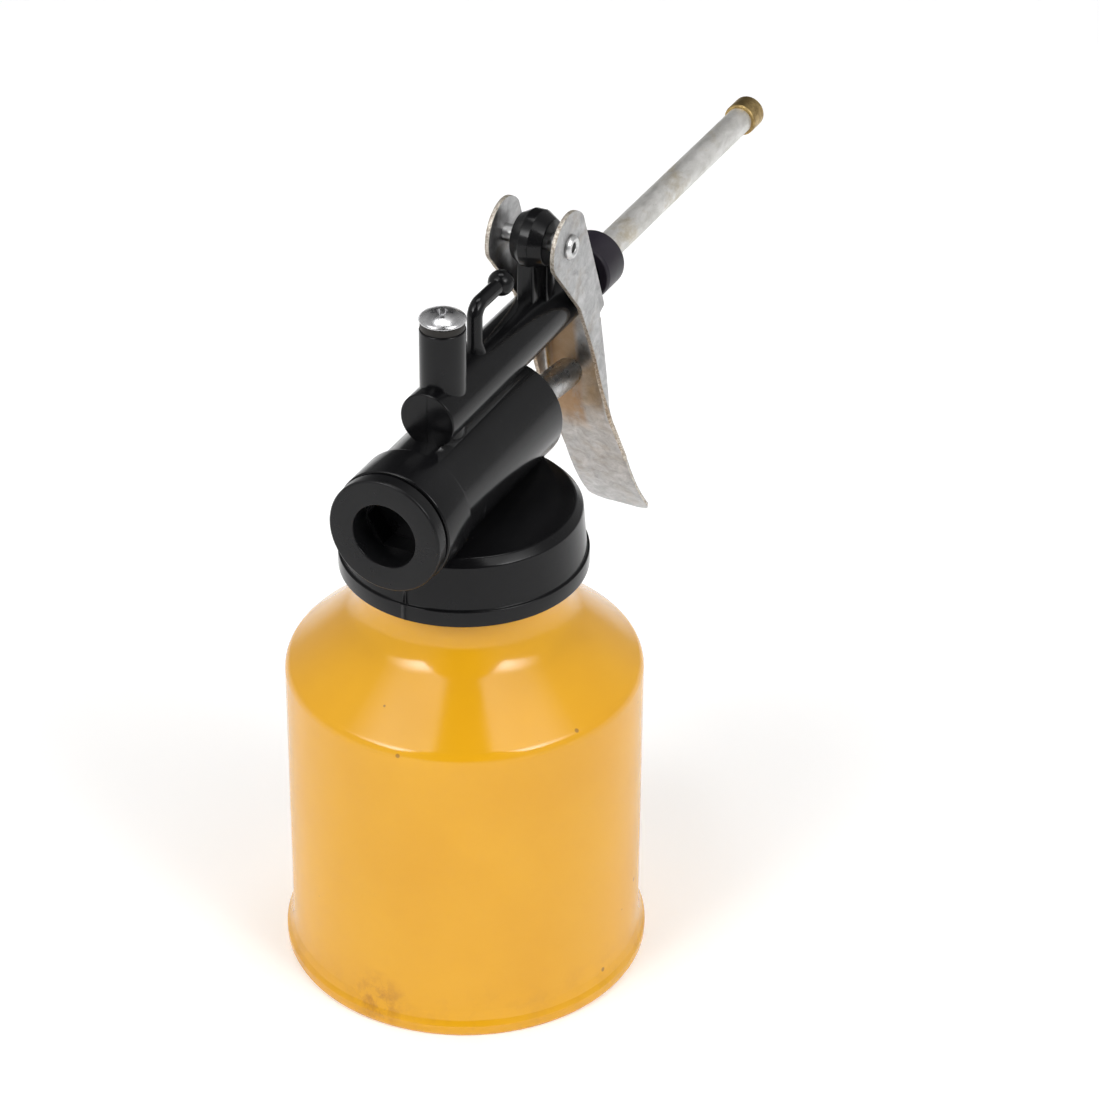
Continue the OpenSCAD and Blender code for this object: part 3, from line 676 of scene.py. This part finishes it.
def pump_moulding(material):
    """Cap, pump cylinder, discharge tube, valve boss, inlet, hook and pivot post, moulded as one."""
    head = build("pump_moulding", revolve(cap_profile(), segments=192))
    cylinder = turned("cylinder", [
        (MOUTH_R, COLLAR_REAR), (COLLAR_R, COLLAR_REAR, 0.35), (COLLAR_R, COLLAR_FRONT, 0.4),
        (PUMP_R, COLLAR_FRONT, 0.2), (PUMP_R, PUMP_FRONT, 0.5), (PUMP_BORE_R, PUMP_FRONT, 0.3),
        (PUMP_BORE_R, MOUTH_FRONT), (MOUTH_R, MOUTH_FRONT)], "X", (0, 0, PUMP_Z), 160, closed=True)
    roof = CAP_CEILING + CAVITY_SLACK
    cavity = build("cavity", revolve([(0, FLANGE_Z), (CAP_BORE_R, FLANGE_Z), (CAP_BORE_R, roof), (0, roof)]))
    combine(cylinder, [cavity], "DIFFERENCE")
    tube = turned("tube", [
        (0, TUBE_REAR), (TUBE_R, TUBE_REAR, 0.3), (TUBE_R, TUBE_FRONT, 0.4), (TUBE_NECK_R, TUBE_FRONT, 0.15),
        (TUBE_NECK_R, TUBE_NECK_FRONT, 0.3), (0, TUBE_NECK_FRONT)], "X", (0, 0, SPOUT_Z), 128)
    web_low = (TUBE_REAR + 1.6, -WEB_HALF, PUMP_Z + PUMP_R - 1.6)
    web_high = (PUMP_FRONT - 1.2, WEB_HALF, SPOUT_Z - 2)
    web = soften(build("web", block(web_low, web_high)), 0.4)
    tube_top = SPOUT_Z + TUBE_R
    boss_floor = BOSS_TOP - BOSS_HOLE_DEPTH
    boss = turned("boss", [
        (0, BOSS_FOOT), (BOSS_R, BOSS_FOOT), (BOSS_R, BOSS_TOP, 0.3), (BOSS_HOLE_R, BOSS_TOP, 0.2),
        (BOSS_HOLE_R, boss_floor), (0, boss_floor)], "Z", (VALVE_X, 0, 0), 96)
    inlet_low = HEAD_LOW.z
    inlet_end = inlet_low + INLET_HOLE_DEPTH
    inlet = turned("inlet", [
        (0, CAP_CEILING + 0.5), (INLET_R + 0.6, CAP_CEILING + 0.5), (INLET_R, CAP_CEILING - 0.6, 0.4),
        (INLET_R, inlet_low, 0.4), (INLET_HOLE_R, inlet_low, 0.2), (INLET_HOLE_R, inlet_end),
        (0, inlet_end)], "Z", (VALVE_X, 0, 0), 96, steps=5)
    parts = [cylinder, tube, web, boss, inlet, *pivot_post(), *hook(tube_top)]
    parts += [
        build("cap_seam", revolve(cap_profile(SEAM), segments=2, sweep=(179.75, 180.25))),
        *seams_on_x(COLLAR_REAR + 0.3, COLLAR_FRONT - 0.3, PUMP_Z, COLLAR_R),
        build("tube_seam", block((TUBE_REAR - SEAM, -SEAM, SPOUT_Z - TUBE_R + 0.2),
                                 (TUBE_REAR + 1, SEAM, tube_top - 0.2)))]
    combine(head, parts)
    return finish_piece(head, "head", "black_plastic", material, "pump_head", angle=30)


def pivot_post():
    """Cross-shaped post and the double-cone barrel that the lever's rivet goes through."""
    foot = SPOUT_Z + TUBE_R - 1.6
    top = PIVOT.z - 3
    webs = []
    for name, half_x, half_y, low in (("long_web", POST_HALF_LONG, POST_HALF_WEB, foot),
                                      ("wide_web", POST_HALF_WEB, POST_HALF_WIDE, foot - 2)):
        data = block((POST_X - half_x, -half_y, low), (POST_X + half_x, half_y, top))
        webs.append(soften(build(name, data), 0.35))
    barrel = turned("barrel", [
        (PIN_HOLE_R, -BARREL_HALF), (BARREL_END_R, -BARREL_HALF, 0.4), (BARREL_MID_R, -0.9, 0.3),
        (BARREL_MID_R, 0.9, 0.3), (BARREL_END_R, BARREL_HALF, 0.4), (PIN_HOLE_R, BARREL_HALF)],
        "Y", PIVOT, 96, steps=5, closed=True)
    return [*webs, barrel]


HOOK_X = 4.5
HOOK_Z = 130.6
HOOK_R = 1.38
HOOK_BEND = 2.2
HOOK_REACH = 10.0
HOOK_BALL_R = 2.35
HOOK_FOOT = 0.9


def hook(tube_top):
    """Wire-like hook with a ball end, standing on the tube between the valve and the pivot post."""
    corner = arc((HOOK_X + HOOK_BEND, HOOK_Z - HOOK_BEND), HOOK_BEND, 180, 90, 14)
    points = [(HOOK_X, tube_top - 1.2), (HOOK_X, tube_top + 0.1), (HOOK_X, tube_top + 1.6)]
    points += [(p.x, p.y) for p in corner] + [(HOOK_X + HOOK_REACH - 1.0, HOOK_Z)]
    path = [Vector((x, 0, z)) for x, z in points]
    radii = [HOOK_R + HOOK_FOOT, HOOK_R + HOOK_FOOT / 2] + [HOOK_R] * (len(path) - 2)
    half_circle = [Vector((max(p.x, 0), p.y)) for p in arc((0, 0), HOOK_BALL_R, -90, 90, 24)]
    ball = revolve(half_circle, "Y", (HOOK_X + HOOK_REACH, 0, HOOK_Z), 48)
    return [build("hook_rod", sweep_tube(path, radii)), build("hook_ball", ball)]


PLUG_R = PLUG_HIGH.z - PUMP_Z
PLUG_RECESS_R = 6.0
PLUG_RECESS_DEPTH = 5.0
PLUG_GAP = 0.5
THREAD_END = -19.6
SOCKET_FLATS = 10.2
SOCKET_FLOOR = -20.4
SOCKET_MARK = -1


def hexagon(radius, angle):
    """Distance to the socket's side at an angle, where the radius is the socket's mark."""
    if radius > 0:
        return radius
    sector = angle % (math.pi / 3) - math.pi / 6
    return SOCKET_FLATS / 2 / math.cos(sector)


def end_plug(material):
    """Screw-in plug with a round recess and a hexagon socket."""
    rear = PLUG_LOW.x
    recess = rear + PLUG_RECESS_DEPTH
    flange = COLLAR_REAR - PLUG_GAP
    thread_r = MOUTH_R - 0.1
    profile = [(0, SOCKET_FLOOR), (SOCKET_MARK, SOCKET_FLOOR), (SOCKET_MARK, recess)]
    profile += rounded([
        (PLUG_RECESS_R, recess), (PLUG_RECESS_R, rear, 0.25), (PLUG_R, rear, 0.45), (PLUG_R, flange, 0.25),
        (thread_r, flange), (thread_r, THREAD_END), (PLUG_RECESS_R, THREAD_END), (PLUG_RECESS_R, PLUG_HIGH.x),
        (0, PLUG_HIGH.x)], steps=6)
    plug = build("end_plug_moulding", revolve(profile, "X", (0, 0, PUMP_Z), 144, shape=hexagon))
    return finish_piece(plug, "head", "plug_plastic", material, "end_plug", angle=30)


# ---------------- valve screw and washer

SCREW_DOME_R = 7.1
SCREW_TURN = 25
SLOT_DEPTH = 1.4
SLOT_SPARE = 0.4
SLOT_TOP = (2.35, 0.50)
SLOT_FLOOR = (1.5, 0.34)


def valve_screw(material):
    """Pan-head screw with a cross recess."""
    base = WASHER_HIGH.z
    top = SCREW_HIGH.z
    tip = SCREW_LOW.z
    head_r = SCREW_HIGH.x - VALVE_X
    shank_r = BOSS_HOLE_R - 0.1
    edge = math.acos((head_r - 0.25) / SCREW_DOME_R)
    crown_low = top - SCREW_DOME_R + SCREW_DOME_R * math.sin(edge)
    crown = arc((0, top - SCREW_DOME_R), SCREW_DOME_R, math.degrees(edge), 90, 20)
    profile = rounded([
        (0, tip), (shank_r - 0.35, tip, 0.4), (shank_r, tip + 0.8, 0.2), (shank_r, base, 0.1),
        (head_r - 0.15, base, 0.12), (head_r, base + 0.2, 0.15), (head_r, crown_low - 0.3, 0.3)], steps=4)
    screw = build("valve_screw_head", revolve(profile + crown, "Z", (VALVE_X, 0, 0), 96))
    low, high = top - SLOT_DEPTH, top + SLOT_SPARE
    cutters = []
    for turn in (SCREW_TURN, SCREW_TURN + 90):
        wing = build("wing", tapered_bar(SLOT_TOP, SLOT_FLOOR, low, high))
        wing.data.transform(Matrix.Rotation(math.radians(turn), 4, "Z"))
        wing.data.transform(Matrix.Translation((VALVE_X * MM, 0, 0)))
        cutters.append(wing)
    core = [(0, low - 0.3), (0.55, low), (1.25, high), (0, high)]
    cutters.append(build("core", revolve(core, "Z", (VALVE_X, 0, 0), 32)))
    combine(screw, cutters, "DIFFERENCE")
    return finish_piece(screw, "head", "screw_steel", material, "valve_screw", angle=40)


def tapered_bar(top_half, low_half, z0, z1):
    """Mesh data of a bar that narrows towards its lower end. Its halves are (along X, along Y)."""
    verts = []
    for (half_x, half_y), z in ((low_half, z0), (top_half, z1)):
        verts += [Vector((sx * half_x, sy * half_y, z)) for sx in (-1, 1) for sy in (-1, 1)]
    return verts, BOX_FACES


def washer(material):
    """Flat ring between the valve boss and the screw's head."""
    r = WASHER_HIGH.x - VALVE_X
    hole_r = BOSS_HOLE_R - 0.05
    low, high = WASHER_LOW.z, WASHER_HIGH.z
    ring = turned("valve_washer", [(hole_r, low), (r, low, 0.2), (r, high, 0.2), (hole_r, high)],
                  "Z", (VALVE_X, 0, 0), 80, steps=4, closed=True)
    return finish_piece(ring, "head", "washer_fibre", material, "screw_washer")


# ---------------- spout

SPOUT_R = 2.6
SPOUT_BORE_R = 1.8
SPOUT_FLANGE_W = 1.0
NUT_STEP = 51.4
NUT_HOLE_R = SPOUT_R + 0.02
TIP_BORE_R = 0.7
TIP_SOCKET = 1.6


def spout_nut(material):
    """Round collar nut with softened rims and a step inside it for the spout's flange."""
    r = NUT_HIGH.z - SPOUT_Z
    x0, x1 = NUT_LOW.x, NUT_HIGH.x
    nut = turned("spout_collar", [
        (TUBE_NECK_R, x0), (r - 0.25, x0, 0.3), (r, x0 + 0.8, 0.4), (r, x1, 0.6), (NUT_HOLE_R, x1, 0.25),
        (NUT_HOLE_R, NUT_STEP), (TUBE_NECK_R, NUT_STEP)], "X", (0, 0, SPOUT_Z), 128, closed=True)
    return finish_piece(nut, "head", "nut_plastic", material, "spout_nut")


def spout_tube(material):
    """Drawn tube with a flange inside the nut."""
    flange_r = TUBE_HIGH.z - SPOUT_Z
    x0, x1 = TUBE_LOW.x, TUBE_HIGH.x
    flange_x = x0 + SPOUT_FLANGE_W
    pipe = turned("spout_pipe", [
        (SPOUT_BORE_R, x0), (flange_r, x0, 0.2), (flange_r, flange_x, 0.2), (SPOUT_R, flange_x, 0.2),
        (SPOUT_R, x1, 0.15), (SPOUT_BORE_R, x1, 0.15)], "X", (0, 0, SPOUT_Z), 96, steps=4, closed=True)
    return finish_piece(pipe, "head", "spout_alloy", material, "spout_tube")


def nozzle_tip(material):
    """Turned brass tip with a rounded front edge and a fine hole."""
    r = TIP_HIGH.z - SPOUT_Z
    x0, x1 = TIP_LOW.x, TIP_HIGH.x
    tip = turned("brass_nozzle", [
        (SPOUT_R, x0), (r - 0.15, x0, 0.15), (r, x0 + 0.35, 0.3), (r, x1 - 0.55, 0.4), (r - 0.6, x1, 0.35),
        (1.3, x1, 0.3), (TIP_BORE_R, x1 - 0.7, 0.2), (TIP_BORE_R, x0 + TIP_SOCKET),
        (SPOUT_R, x0 + TIP_SOCKET)], "X", (0, 0, SPOUT_Z), 96, closed=True)
    return finish_piece(tip, "head", "tip_brass", material, "nozzle_tip")


# ---------------- lever

SHEET = 0.8
FOLD_R = 1.2
# curves through these places, from the top down, as (x, z)
WEB_FRONT = [(42.2, 112.1), (44.2, 103.2), (45.8, 95.5), (47.3, 88.8), (54.5, 75.5), (56.9, 71.0),
             (59.1, 67.3), (61.5, 63.8), (64.1, 60.5), (67.0, 57.5)]
FLANGE_REAR = [(22.2, 133.2), (32.5, 118.3), (38.6, 106.0), (42.1, 97.2), (46.6, 87.8), (54.2, 75.0)]
EAR_R = 6.5
EAR_TURN = (201, 35)
EAR_DROP = [(42.25, 114.9), (42.3, 114.4)]
WEB_TOP_Z = 113.6
BLADE_CORNER_R = 3.2
WEB_ROWS = 76
EDGE_INSET = 0.15
RIVET_HOLE_R = 1.62
RIVET_HOLE_SIDES = 32
CURVE_STEPS = 24


def smooth_line(points, count):
    """Evenly spaced points on a smooth curve through the given ones (Catmull-Rom)."""
    pts = [Vector(p) for p in points]
    pts = [2 * pts[0] - pts[1]] + pts + [2 * pts[-1] - pts[-2]]
    fine = []
    for a, b, c, d in zip(pts, pts[1:], pts[2:], pts[3:]):
        for k in range(CURVE_STEPS):
            t = k / CURVE_STEPS
            fine.append(0.5 * (2 * b + (c - a) * t + (2 * a - 5 * b + 4 * c - d) * t ** 2
                               + (3 * b - a - 3 * c + d) * t ** 3))
    fine.append(pts[-2])
    lengths = [0.0]
    for a, b in zip(fine, fine[1:]):
        lengths.append(lengths[-1] + (b - a).length)
    result, k = [], 0
    for i in range(count):
        target = lengths[-1] * i / (count - 1)
        while k < len(fine) - 2 and lengths[k + 1] < target:
            k += 1
        part = (target - lengths[k]) / (lengths[k + 1] - lengths[k])
        result.append(fine[k].lerp(fine[k + 1], part))
    return result


def line_gap(point, line):
    """Shortest distance from a point to a polyline."""
    best = 1e9
    for a, b in zip(line, line[1:]):
        t = max(0.0, min(1.0, (point - a).dot(b - a) / (b - a).length_squared))
        best = min(best, (point - a.lerp(b, t)).length)
    return best


def lever(surface, edge):
    """Folded U-channel: web and flared end lofted with round folds, and two flat ears."""
    half = LEVER_HIGH.y - SHEET / 2
    fold = FOLD_R
    front = smooth_line(WEB_FRONT, WEB_ROWS)
    rear = [Vector(p) for p in FLANGE_REAR]
    shape = bmesh.new()
    rows, folds = [], []
    total = sum((b - a).length for a, b in zip(front, front[1:]))
    run = 0.0
    for i, point in enumerate(front):
        ahead = (front[min(i + 1, len(front) - 1)] - front[max(i - 1, 0)]).normalized()
        inward = Vector((ahead.y, -ahead.x))
        if inward.x > 0:
            inward = -inward
        if i:
            run += (point - front[i - 1]).length
        mid = point + inward * SHEET / 2
        depth = line_gap(point, rear) - SHEET / 2 if point.y > rear[-1].y + 1.0 else 0.0
        lean = max(0.0, min(1.0, depth / fold))
        turn = math.acos(1 - lean) if lean < 1 else math.pi / 2
        flat = half - fold + (fold - EDGE_INSET) * (1 - math.sin(turn))
        left = total - run
        if left < BLADE_CORNER_R:
            reach = BLADE_CORNER_R ** 2 - (BLADE_CORNER_R - left) ** 2
            flat -= BLADE_CORNER_R - math.sqrt(max(0.0, reach))
        across = [(flat * k / 8, 0.0) for k in range(9)]
        bends = [turn * k / 6 for k in range(1, 7)]
        across += [(flat + fold * math.sin(a), fold * (1 - math.cos(a))) for a in bends]
        across = [(-y, d) for y, d in across[:0:-1]] + across
        row = []
        for y, d in across:
            place = mid + inward * d
            row.append(shape.verts.new(Vector((place.x, y, place.y)) * MM))
        rows.append(row)
        if turn > 1.5:
            folds.append(i)
    for above, below in zip(rows, rows[1:]):
        for k in range(len(above) - 1):
            shape.faces.new((above[k], above[k + 1], below[k + 1], below[k]))
    for side in (0, -1):
        y = rows[0][side].co.y
        rim = [rows[i][side] for i in folds]
        outline = ear_outline(rim[0].co, rim[-1].co)
        added = [shape.verts.new(Vector((x * MM, y, z * MM))) for x, z in outline]
        loop = rim + added
        ends = zip(loop, loop[1:] + loop[:1])
        edges = [shape.edges.get(pair) or shape.edges.new(pair) for pair in ends]
        circle = arc((PIVOT.x, PIVOT.z), RIVET_HOLE_R, 0, 360, RIVET_HOLE_SIDES)[:-1]
        hole = [shape.verts.new(Vector((p.x * MM, y, p.y * MM))) for p in circle]
        edges += [shape.edges.new((a, b)) for a, b in zip(hole, hole[1:] + hole[:1])]
        bmesh.ops.triangle_fill(shape, edges=edges, use_beauty=True)
    bmesh.ops.recalc_face_normals(shape, faces=shape.faces)
    mesh = bpy.data.meshes.new("lever_sheet")
    shape.to_mesh(mesh)
    shape.free()
    obj = add_object("lever_sheet", mesh)
    mesh.materials.append(surface)
    mesh.materials.append(edge)
    thick = obj.modifiers.new("thickness", "SOLIDIFY")
    thick.thickness = SHEET * MM
    thick.offset = 0
    thick.use_even_offset = True
    thick.material_offset_rim = 1
    bake_modifiers(obj)
    soften(obj, 0.14, 2, 60)
    smooth(obj, 40)
    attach(obj, "trigger")
    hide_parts("lever")
    return obj


def ear_outline(web_top, flange_end):
    """Outline of a side plate from the flange's lower end, up its rear edge, round the ear and down."""
    pivot = Vector((PIVOT.x, PIVOT.z))
    end = Vector((flange_end.x, flange_end.z)) / MM
    start = Vector((web_top.x, web_top.z)) / MM
    rear = [Vector(p) for p in FLANGE_REAR[-2:0:-1]]
    climb = [p for p in smooth_line([end, *rear], 30)][1:]
    ear = arc(pivot, EAR_R, *EAR_TURN, 40)
    drop = [*(Vector(p) for p in EAR_DROP), Vector((start.x, WEB_TOP_Z))]
    return [(p.x, p.y) for p in climb + ear + drop]


RIVET_R = 1.6
RIVET_HOLLOW_R = 0.95
RIVET_HOLLOW_DEPTH = 1.2


def rivet(material):
    """Shank with rolled, hollow heads."""
    reach = RIVET_HIGH.y
    face = LEVER_HIGH.y
    head_r = RIVET_HIGH.z - PIVOT.z
    hollow = face - RIVET_HOLLOW_DEPTH
    right = rounded([
        (0, hollow), (RIVET_HOLLOW_R, hollow), (RIVET_HOLLOW_R, reach - 0.25, 0.2), (1.3, reach, 0.25),
        (head_r - 0.45, reach, 0.35), (head_r, reach - 0.55, 0.3), (head_r, face, 0.1),
        (RIVET_R, face)], steps=5)
    left = [Vector((p.x, -p.y)) for p in right[::-1]]
    data = revolve(right + left, "Y", (PIVOT.x, 0, PIVOT.z), 64)
    return finish_piece(build("pivot_pin", data), "trigger", "rivet_steel", material, "pivot_rivet", angle=40)


# ---------------- push rod and springs

ROD_R = 2.8
ROD_DROOP = 7.0
ROD_SEAT = (ROD_LOW.x + ROD_R, 0, PUMP_Z)


def push_rod(material):
    """Steel rod with rounded ends, drooping from its seat in the piston to the lever's web."""
    length = (ROD_HIGH.x - ROD_R - ROD_SEAT[0]) / math.cos(math.radians(ROD_DROOP))
    profile = arc((0, 0), ROD_R, -90, 0, 12) + arc((0, length), ROD_R, 0, 90, 16)
    profile = [Vector((max(p.x, 0), p.y)) for p in profile]
    rod = build("push_rod_bar", revolve(profile, "X", (0, 0, 0), 72))
    tilt = Matrix.Rotation(math.radians(ROD_DROOP), 4, "Y")
    rod.data.transform(Matrix.Translation(Vector(ROD_SEAT) * MM) @ tilt)
    return finish_piece(rod, "plunger", "rod_steel", material, "push_rod")


COIL_SIDES = 28
COIL_EASE = 0.40
SPRING_R, SPRING_WIRE, SPRING_TURNS = 5.2, 0.45, 9
VALVE_SPRING_R, VALVE_SPRING_WIRE, VALVE_SPRING_TURNS = 1.5, 0.25, 8


def coil_spring(name, start, direction, radius, wire, turns, length):
    """Compression spring whose coils lie closer together at its ends. wire is the wire's radius."""
    steps = int(turns * COIL_SIDES)
    side = direction.orthogonal().normalized()
    other = direction.cross(side)
    path = []
    for k in range(steps + 1):
        part = k / steps
        eased = part - COIL_EASE * math.sin(2 * math.pi * part) / (2 * math.pi)
        along = wire + (length - 2 * wire) * max(0.0, min(1.0, eased))
        a = 2 * math.pi * turns * part
        path.append(start + direction * along + (side * math.cos(a) + other * math.sin(a)) * radius)
    return build(name, sweep_tube(path, [wire] * len(path), 12))


def springs(material):
    """Return spring behind the piston, and the outlet valve's spring."""
    start = Vector((SPRING_LOW.x, 0, PUMP_Z))
    length = SPRING_HIGH.x - SPRING_LOW.x
    main = coil_spring("return_coil", start, Vector((1, 0, 0)), SPRING_R, SPRING_WIRE, SPRING_TURNS, length)
    finish_piece(main, "head", "spring_steel", material, "return_spring")
    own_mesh(main)
    top = Vector((VALVE_X, 0, VALVE_SPRING_HIGH.z))
    length = VALVE_SPRING_HIGH.z - VALVE_SPRING_LOW.z
    small = coil_spring("valve_coil", top, Vector((0, 0, -1)),
                        VALVE_SPRING_R, VALVE_SPRING_WIRE, VALVE_SPRING_TURNS, length)
    finish_piece(small, "head", "spring_steel", material, "outlet_spring")
    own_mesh(small)


# ---------------- floor, light and camera

FLOOR_HALF = 3000
FLOOR_DROP = 0.02
FLOOR_WHITE = (0.92, 0.92, 0.92)
FLOOR_SHADE = (0.90, 0.90, 0.90)


def floor_material():
    """Matt white sheet with a faint glow of its own, so that it stays pale."""
    f = Finish("studio_floor", FLOOR_WHITE, 0.6)
    cloud = f.remap(f.noise(60, 4, 0.5), 0.3, 0.7)
    f.drive("Base Color", f.blend(cloud, FLOOR_WHITE, FLOOR_SHADE))
    f.set("Specular IOR Level", 0.1)
    f.set("Emission Color", (1, 1, 1, 1))
    f.set("Emission Strength", 0.22)
    return f.material


def studio_floor():
    """Large sheet just under the can."""
    corners = ((-1, -1), (1, -1), (1, 1), (-1, 1))
    verts = [Vector((x, y, 0)) * FLOOR_HALF for x, y in corners]
    floor = build("studio_floor", (verts, [(0, 1, 2, 3)]))
    floor.data.materials.append(floor_material())
    floor.location.z = -FLOOR_DROP * MM


def soft_light(name, azimuth, elevation, distance, size, power, hot_side):
    """Soft box facing the can. Angles are degrees from the camera's side, to its right and up. Its hot
    side (-1 left, 1 right, 0 even) is bright and fades to the other side."""
    ahead, right = level_axes()
    turn, rise = math.radians(azimuth), math.radians(elevation)
    level = right * math.sin(turn) - ahead * math.cos(turn)
    way = level * math.cos(rise) + Vector((0, 0, math.sin(rise)))
    lamp = bpy.data.lights.new(name, "AREA")
    lamp.shape = "RECTANGLE"
    lamp.size, lamp.size_y = size
    lamp.energy = power
    if hot_side:
        fade_light(lamp, hot_side)
    obj = add_object(name, lamp)
    obj.location = LIGHT_AIM + way * distance
    obj.rotation_euler = (-way).to_track_quat("-Z", "Y").to_euler()


def fade_light(lamp, hot_side):
    """Brightness that falls off across a lamp from its hot side, and towards its top."""
    lamp.use_nodes = True
    tree = lamp.node_tree
    place = tree.nodes.new("ShaderNodeNewGeometry").outputs["Parametric"]
    parts = tree.nodes.new("ShaderNodeSeparateXYZ")
    tree.links.new(place, parts.inputs["Vector"])
    both = tree.nodes.new("ShaderNodeMath")
    both.operation = "MULTIPLY"
    across = (0.0, 1.0) if hot_side > 0 else (1.0, 0.0)
    falls = (("X", across, LIGHT_ACROSS), ("Y", LIGHT_HOT_BAND, LIGHT_UPWARD))
    for target, (letter, ends, levels) in zip(both.inputs, falls):
        fall = tree.nodes.new("ShaderNodeMapRange")
        fall.interpolation_type = "SMOOTHSTEP"
        fall.inputs["From Min"].default_value, fall.inputs["From Max"].default_value = ends
        fall.inputs["To Min"].default_value, fall.inputs["To Max"].default_value = levels
        tree.links.new(parts.outputs[letter], fall.inputs["Value"])
        tree.links.new(fall.outputs["Result"], target)
    tree.links.new(both.outputs["Value"], tree.nodes["Emission"].inputs["Strength"])


LIGHT_AIM = Vector((0, 0, 0.07))
LIGHT_ACROSS = (0.12, 2.6)
LIGHT_HOT_BAND = (0.25, 0.6)
LIGHT_UPWARD = (3.0, 0.6)
CAMERA_AZIMUTH = 63.84
CAMERA_PITCH = 32.45
CAMERA_ROLL = 0.46
CAMERA_DISTANCE = 0.7148
CAMERA_AIM = Vector((0.0408, 0.0030, 0.0597))
CAMERA_LENS = 123.3
CAMERA_SENSOR = 36
WORLD_DARK = (0.18, 0.04)
WORLD_PALE = (0.62, 0.55)


def level_axes():
    """The level directions away from the camera and to its right."""
    a = math.radians(CAMERA_AZIMUTH)
    return Vector((math.sin(a), math.cos(a), 0)), Vector((math.cos(a), -math.sin(a), 0))


def camera():
    """The camera, looking down at the can from beside the spout."""
    pitch, roll = math.radians(CAMERA_PITCH), math.radians(CAMERA_ROLL)
    ahead, level = level_axes()
    forward = ahead * math.cos(pitch) - Vector((0, 0, math.sin(pitch)))
    rise = ahead * math.sin(pitch) + Vector((0, 0, math.cos(pitch)))
    right = level * math.cos(roll) + rise * math.sin(roll)
    up = rise * math.cos(roll) - level * math.sin(roll)
    lens = bpy.data.cameras.new("camera")
    lens.lens = CAMERA_LENS
    lens.sensor_width = CAMERA_SENSOR
    obj = add_object("camera", lens)
    turn = Matrix((right, up, -forward)).transposed().to_4x4()
    obj.matrix_world = Matrix.Translation(CAMERA_AIM - forward * CAMERA_DISTANCE) @ turn
    bpy.context.scene.camera = obj


def studio_world():
    """A dim room: pale walls to the camera's left and right, dark behind the camera and overhead."""
    world = bpy.data.worlds.new("studio")
    world.use_nodes = True
    tree = world.node_tree
    place = tree.nodes.new("ShaderNodeTexCoord").outputs["Generated"]
    sideways = tree.nodes.new("ShaderNodeVectorMath")
    sideways.operation = "DOT_PRODUCT"
    sideways.inputs[1].default_value = level_axes()[1]
    tree.links.new(place, sideways.inputs[0])
    distance = tree.nodes.new("ShaderNodeMath")
    distance.operation = "ABSOLUTE"
    tree.links.new(sideways.outputs["Value"], distance.inputs[0])
    ramp = tree.nodes.new("ShaderNodeValToRGB")
    tree.links.new(distance.outputs["Value"], ramp.inputs["Fac"])
    for stop, (position, grey) in zip(ramp.color_ramp.elements, (WORLD_DARK, WORLD_PALE)):
        stop.position = position
        stop.color = (grey, grey, grey, 1)
    tree.links.new(ramp.outputs["Color"], tree.nodes["Background"].inputs["Color"])
    tree.nodes["Background"].inputs["Strength"].default_value = 1.0
    bpy.context.scene.world = world


def studio_lights():
    """Two tall soft boxes left and right of the camera with a gap between them, bright on their inner
    sides and low down, and a weaker light from above the object."""
    soft_light("left_box", -60, 50, 1.5, (1.0, 1.1), 5.2, 1)
    soft_light("right_box", 60, 50, 1.5, (1.0, 1.1), 5.2, -1)
    soft_light("top_box", 180, 78, 1.6, (0.9, 0.5), 6, 0)


# ---------------- the scene

def dress_hidden_nodes():
    """Materials for the CAD nodes that stay as they are, most of them inside the pump."""
    seal, steel = rubber(), bare_steel("ring_steel", (0.52, 0.52, 0.53), 0.3)
    ball = bare_steel("ball_steel", (0.75, 0.75, 0.77), 0.12, 0.1)
    seat = brass("seat_brass", (0.72, 0.52, 0.23), 0.3, 0.3)
    mesh = brass("strainer_brass", (0.62, 0.46, 0.22), 0.5, 0.35)
    finishes = {
        "neck_gasket": seal, "plug_seal": seal, "piston_seal": seal, "spout_seal": seal,
        "retaining_ring": steel, "inlet_ball": ball, "outlet_ball": ball, "inlet_seat": seat,
        "strainer": mesh,
        "piston": clear_plastic("piston_plastic", (0.74, 0.70, 0.62)),
        "suction_tube": clear_plastic("tube_plastic", (0.80, 0.82, 0.80))}
    for node, material in finishes.items():
        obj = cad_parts[node]
        obj.material_slots[0].material = material


def main():
    yellow = paint()
    can_shell(yellow)
    can_floor(yellow)
    pump_moulding(black_moulding("black_plastic", (0.0045, 0.0045, 0.005), 0.16))
    end_plug(black_moulding("plug_plastic", (0.005, 0.005, 0.0055), 0.28, 0.05))
    spout_nut(black_moulding("nut_plastic", (0.016, 0.013, 0.019), 0.34))
    washer(black_moulding("washer_fibre", (0.022, 0.020, 0.018), 0.5))
    valve_screw(bare_steel("screw_steel", (0.62, 0.62, 0.63), 0.24, 0.25))
    spout_tube(alloy())
    nozzle_tip(brass("tip_brass", (0.50, 0.36, 0.15), 0.7, 0.36))
    lever(zinc(), cut_edge())
    rivet(bare_steel("rivet_steel", (0.62, 0.62, 0.62), 0.28, 0.4))
    push_rod(bare_steel("rod_steel", (0.48, 0.48, 0.48), 0.26, 0.55, (0.15, 1, 1)))
    springs(bare_steel("spring_steel", (0.58, 0.59, 0.61), 0.25))
    dress_hidden_nodes()
    studio_floor()
    studio_world()
    studio_lights()
    camera()
    bpy.context.scene.view_settings.view_transform = "Standard"
    bpy.context.scene.view_settings.look = "None"


main()
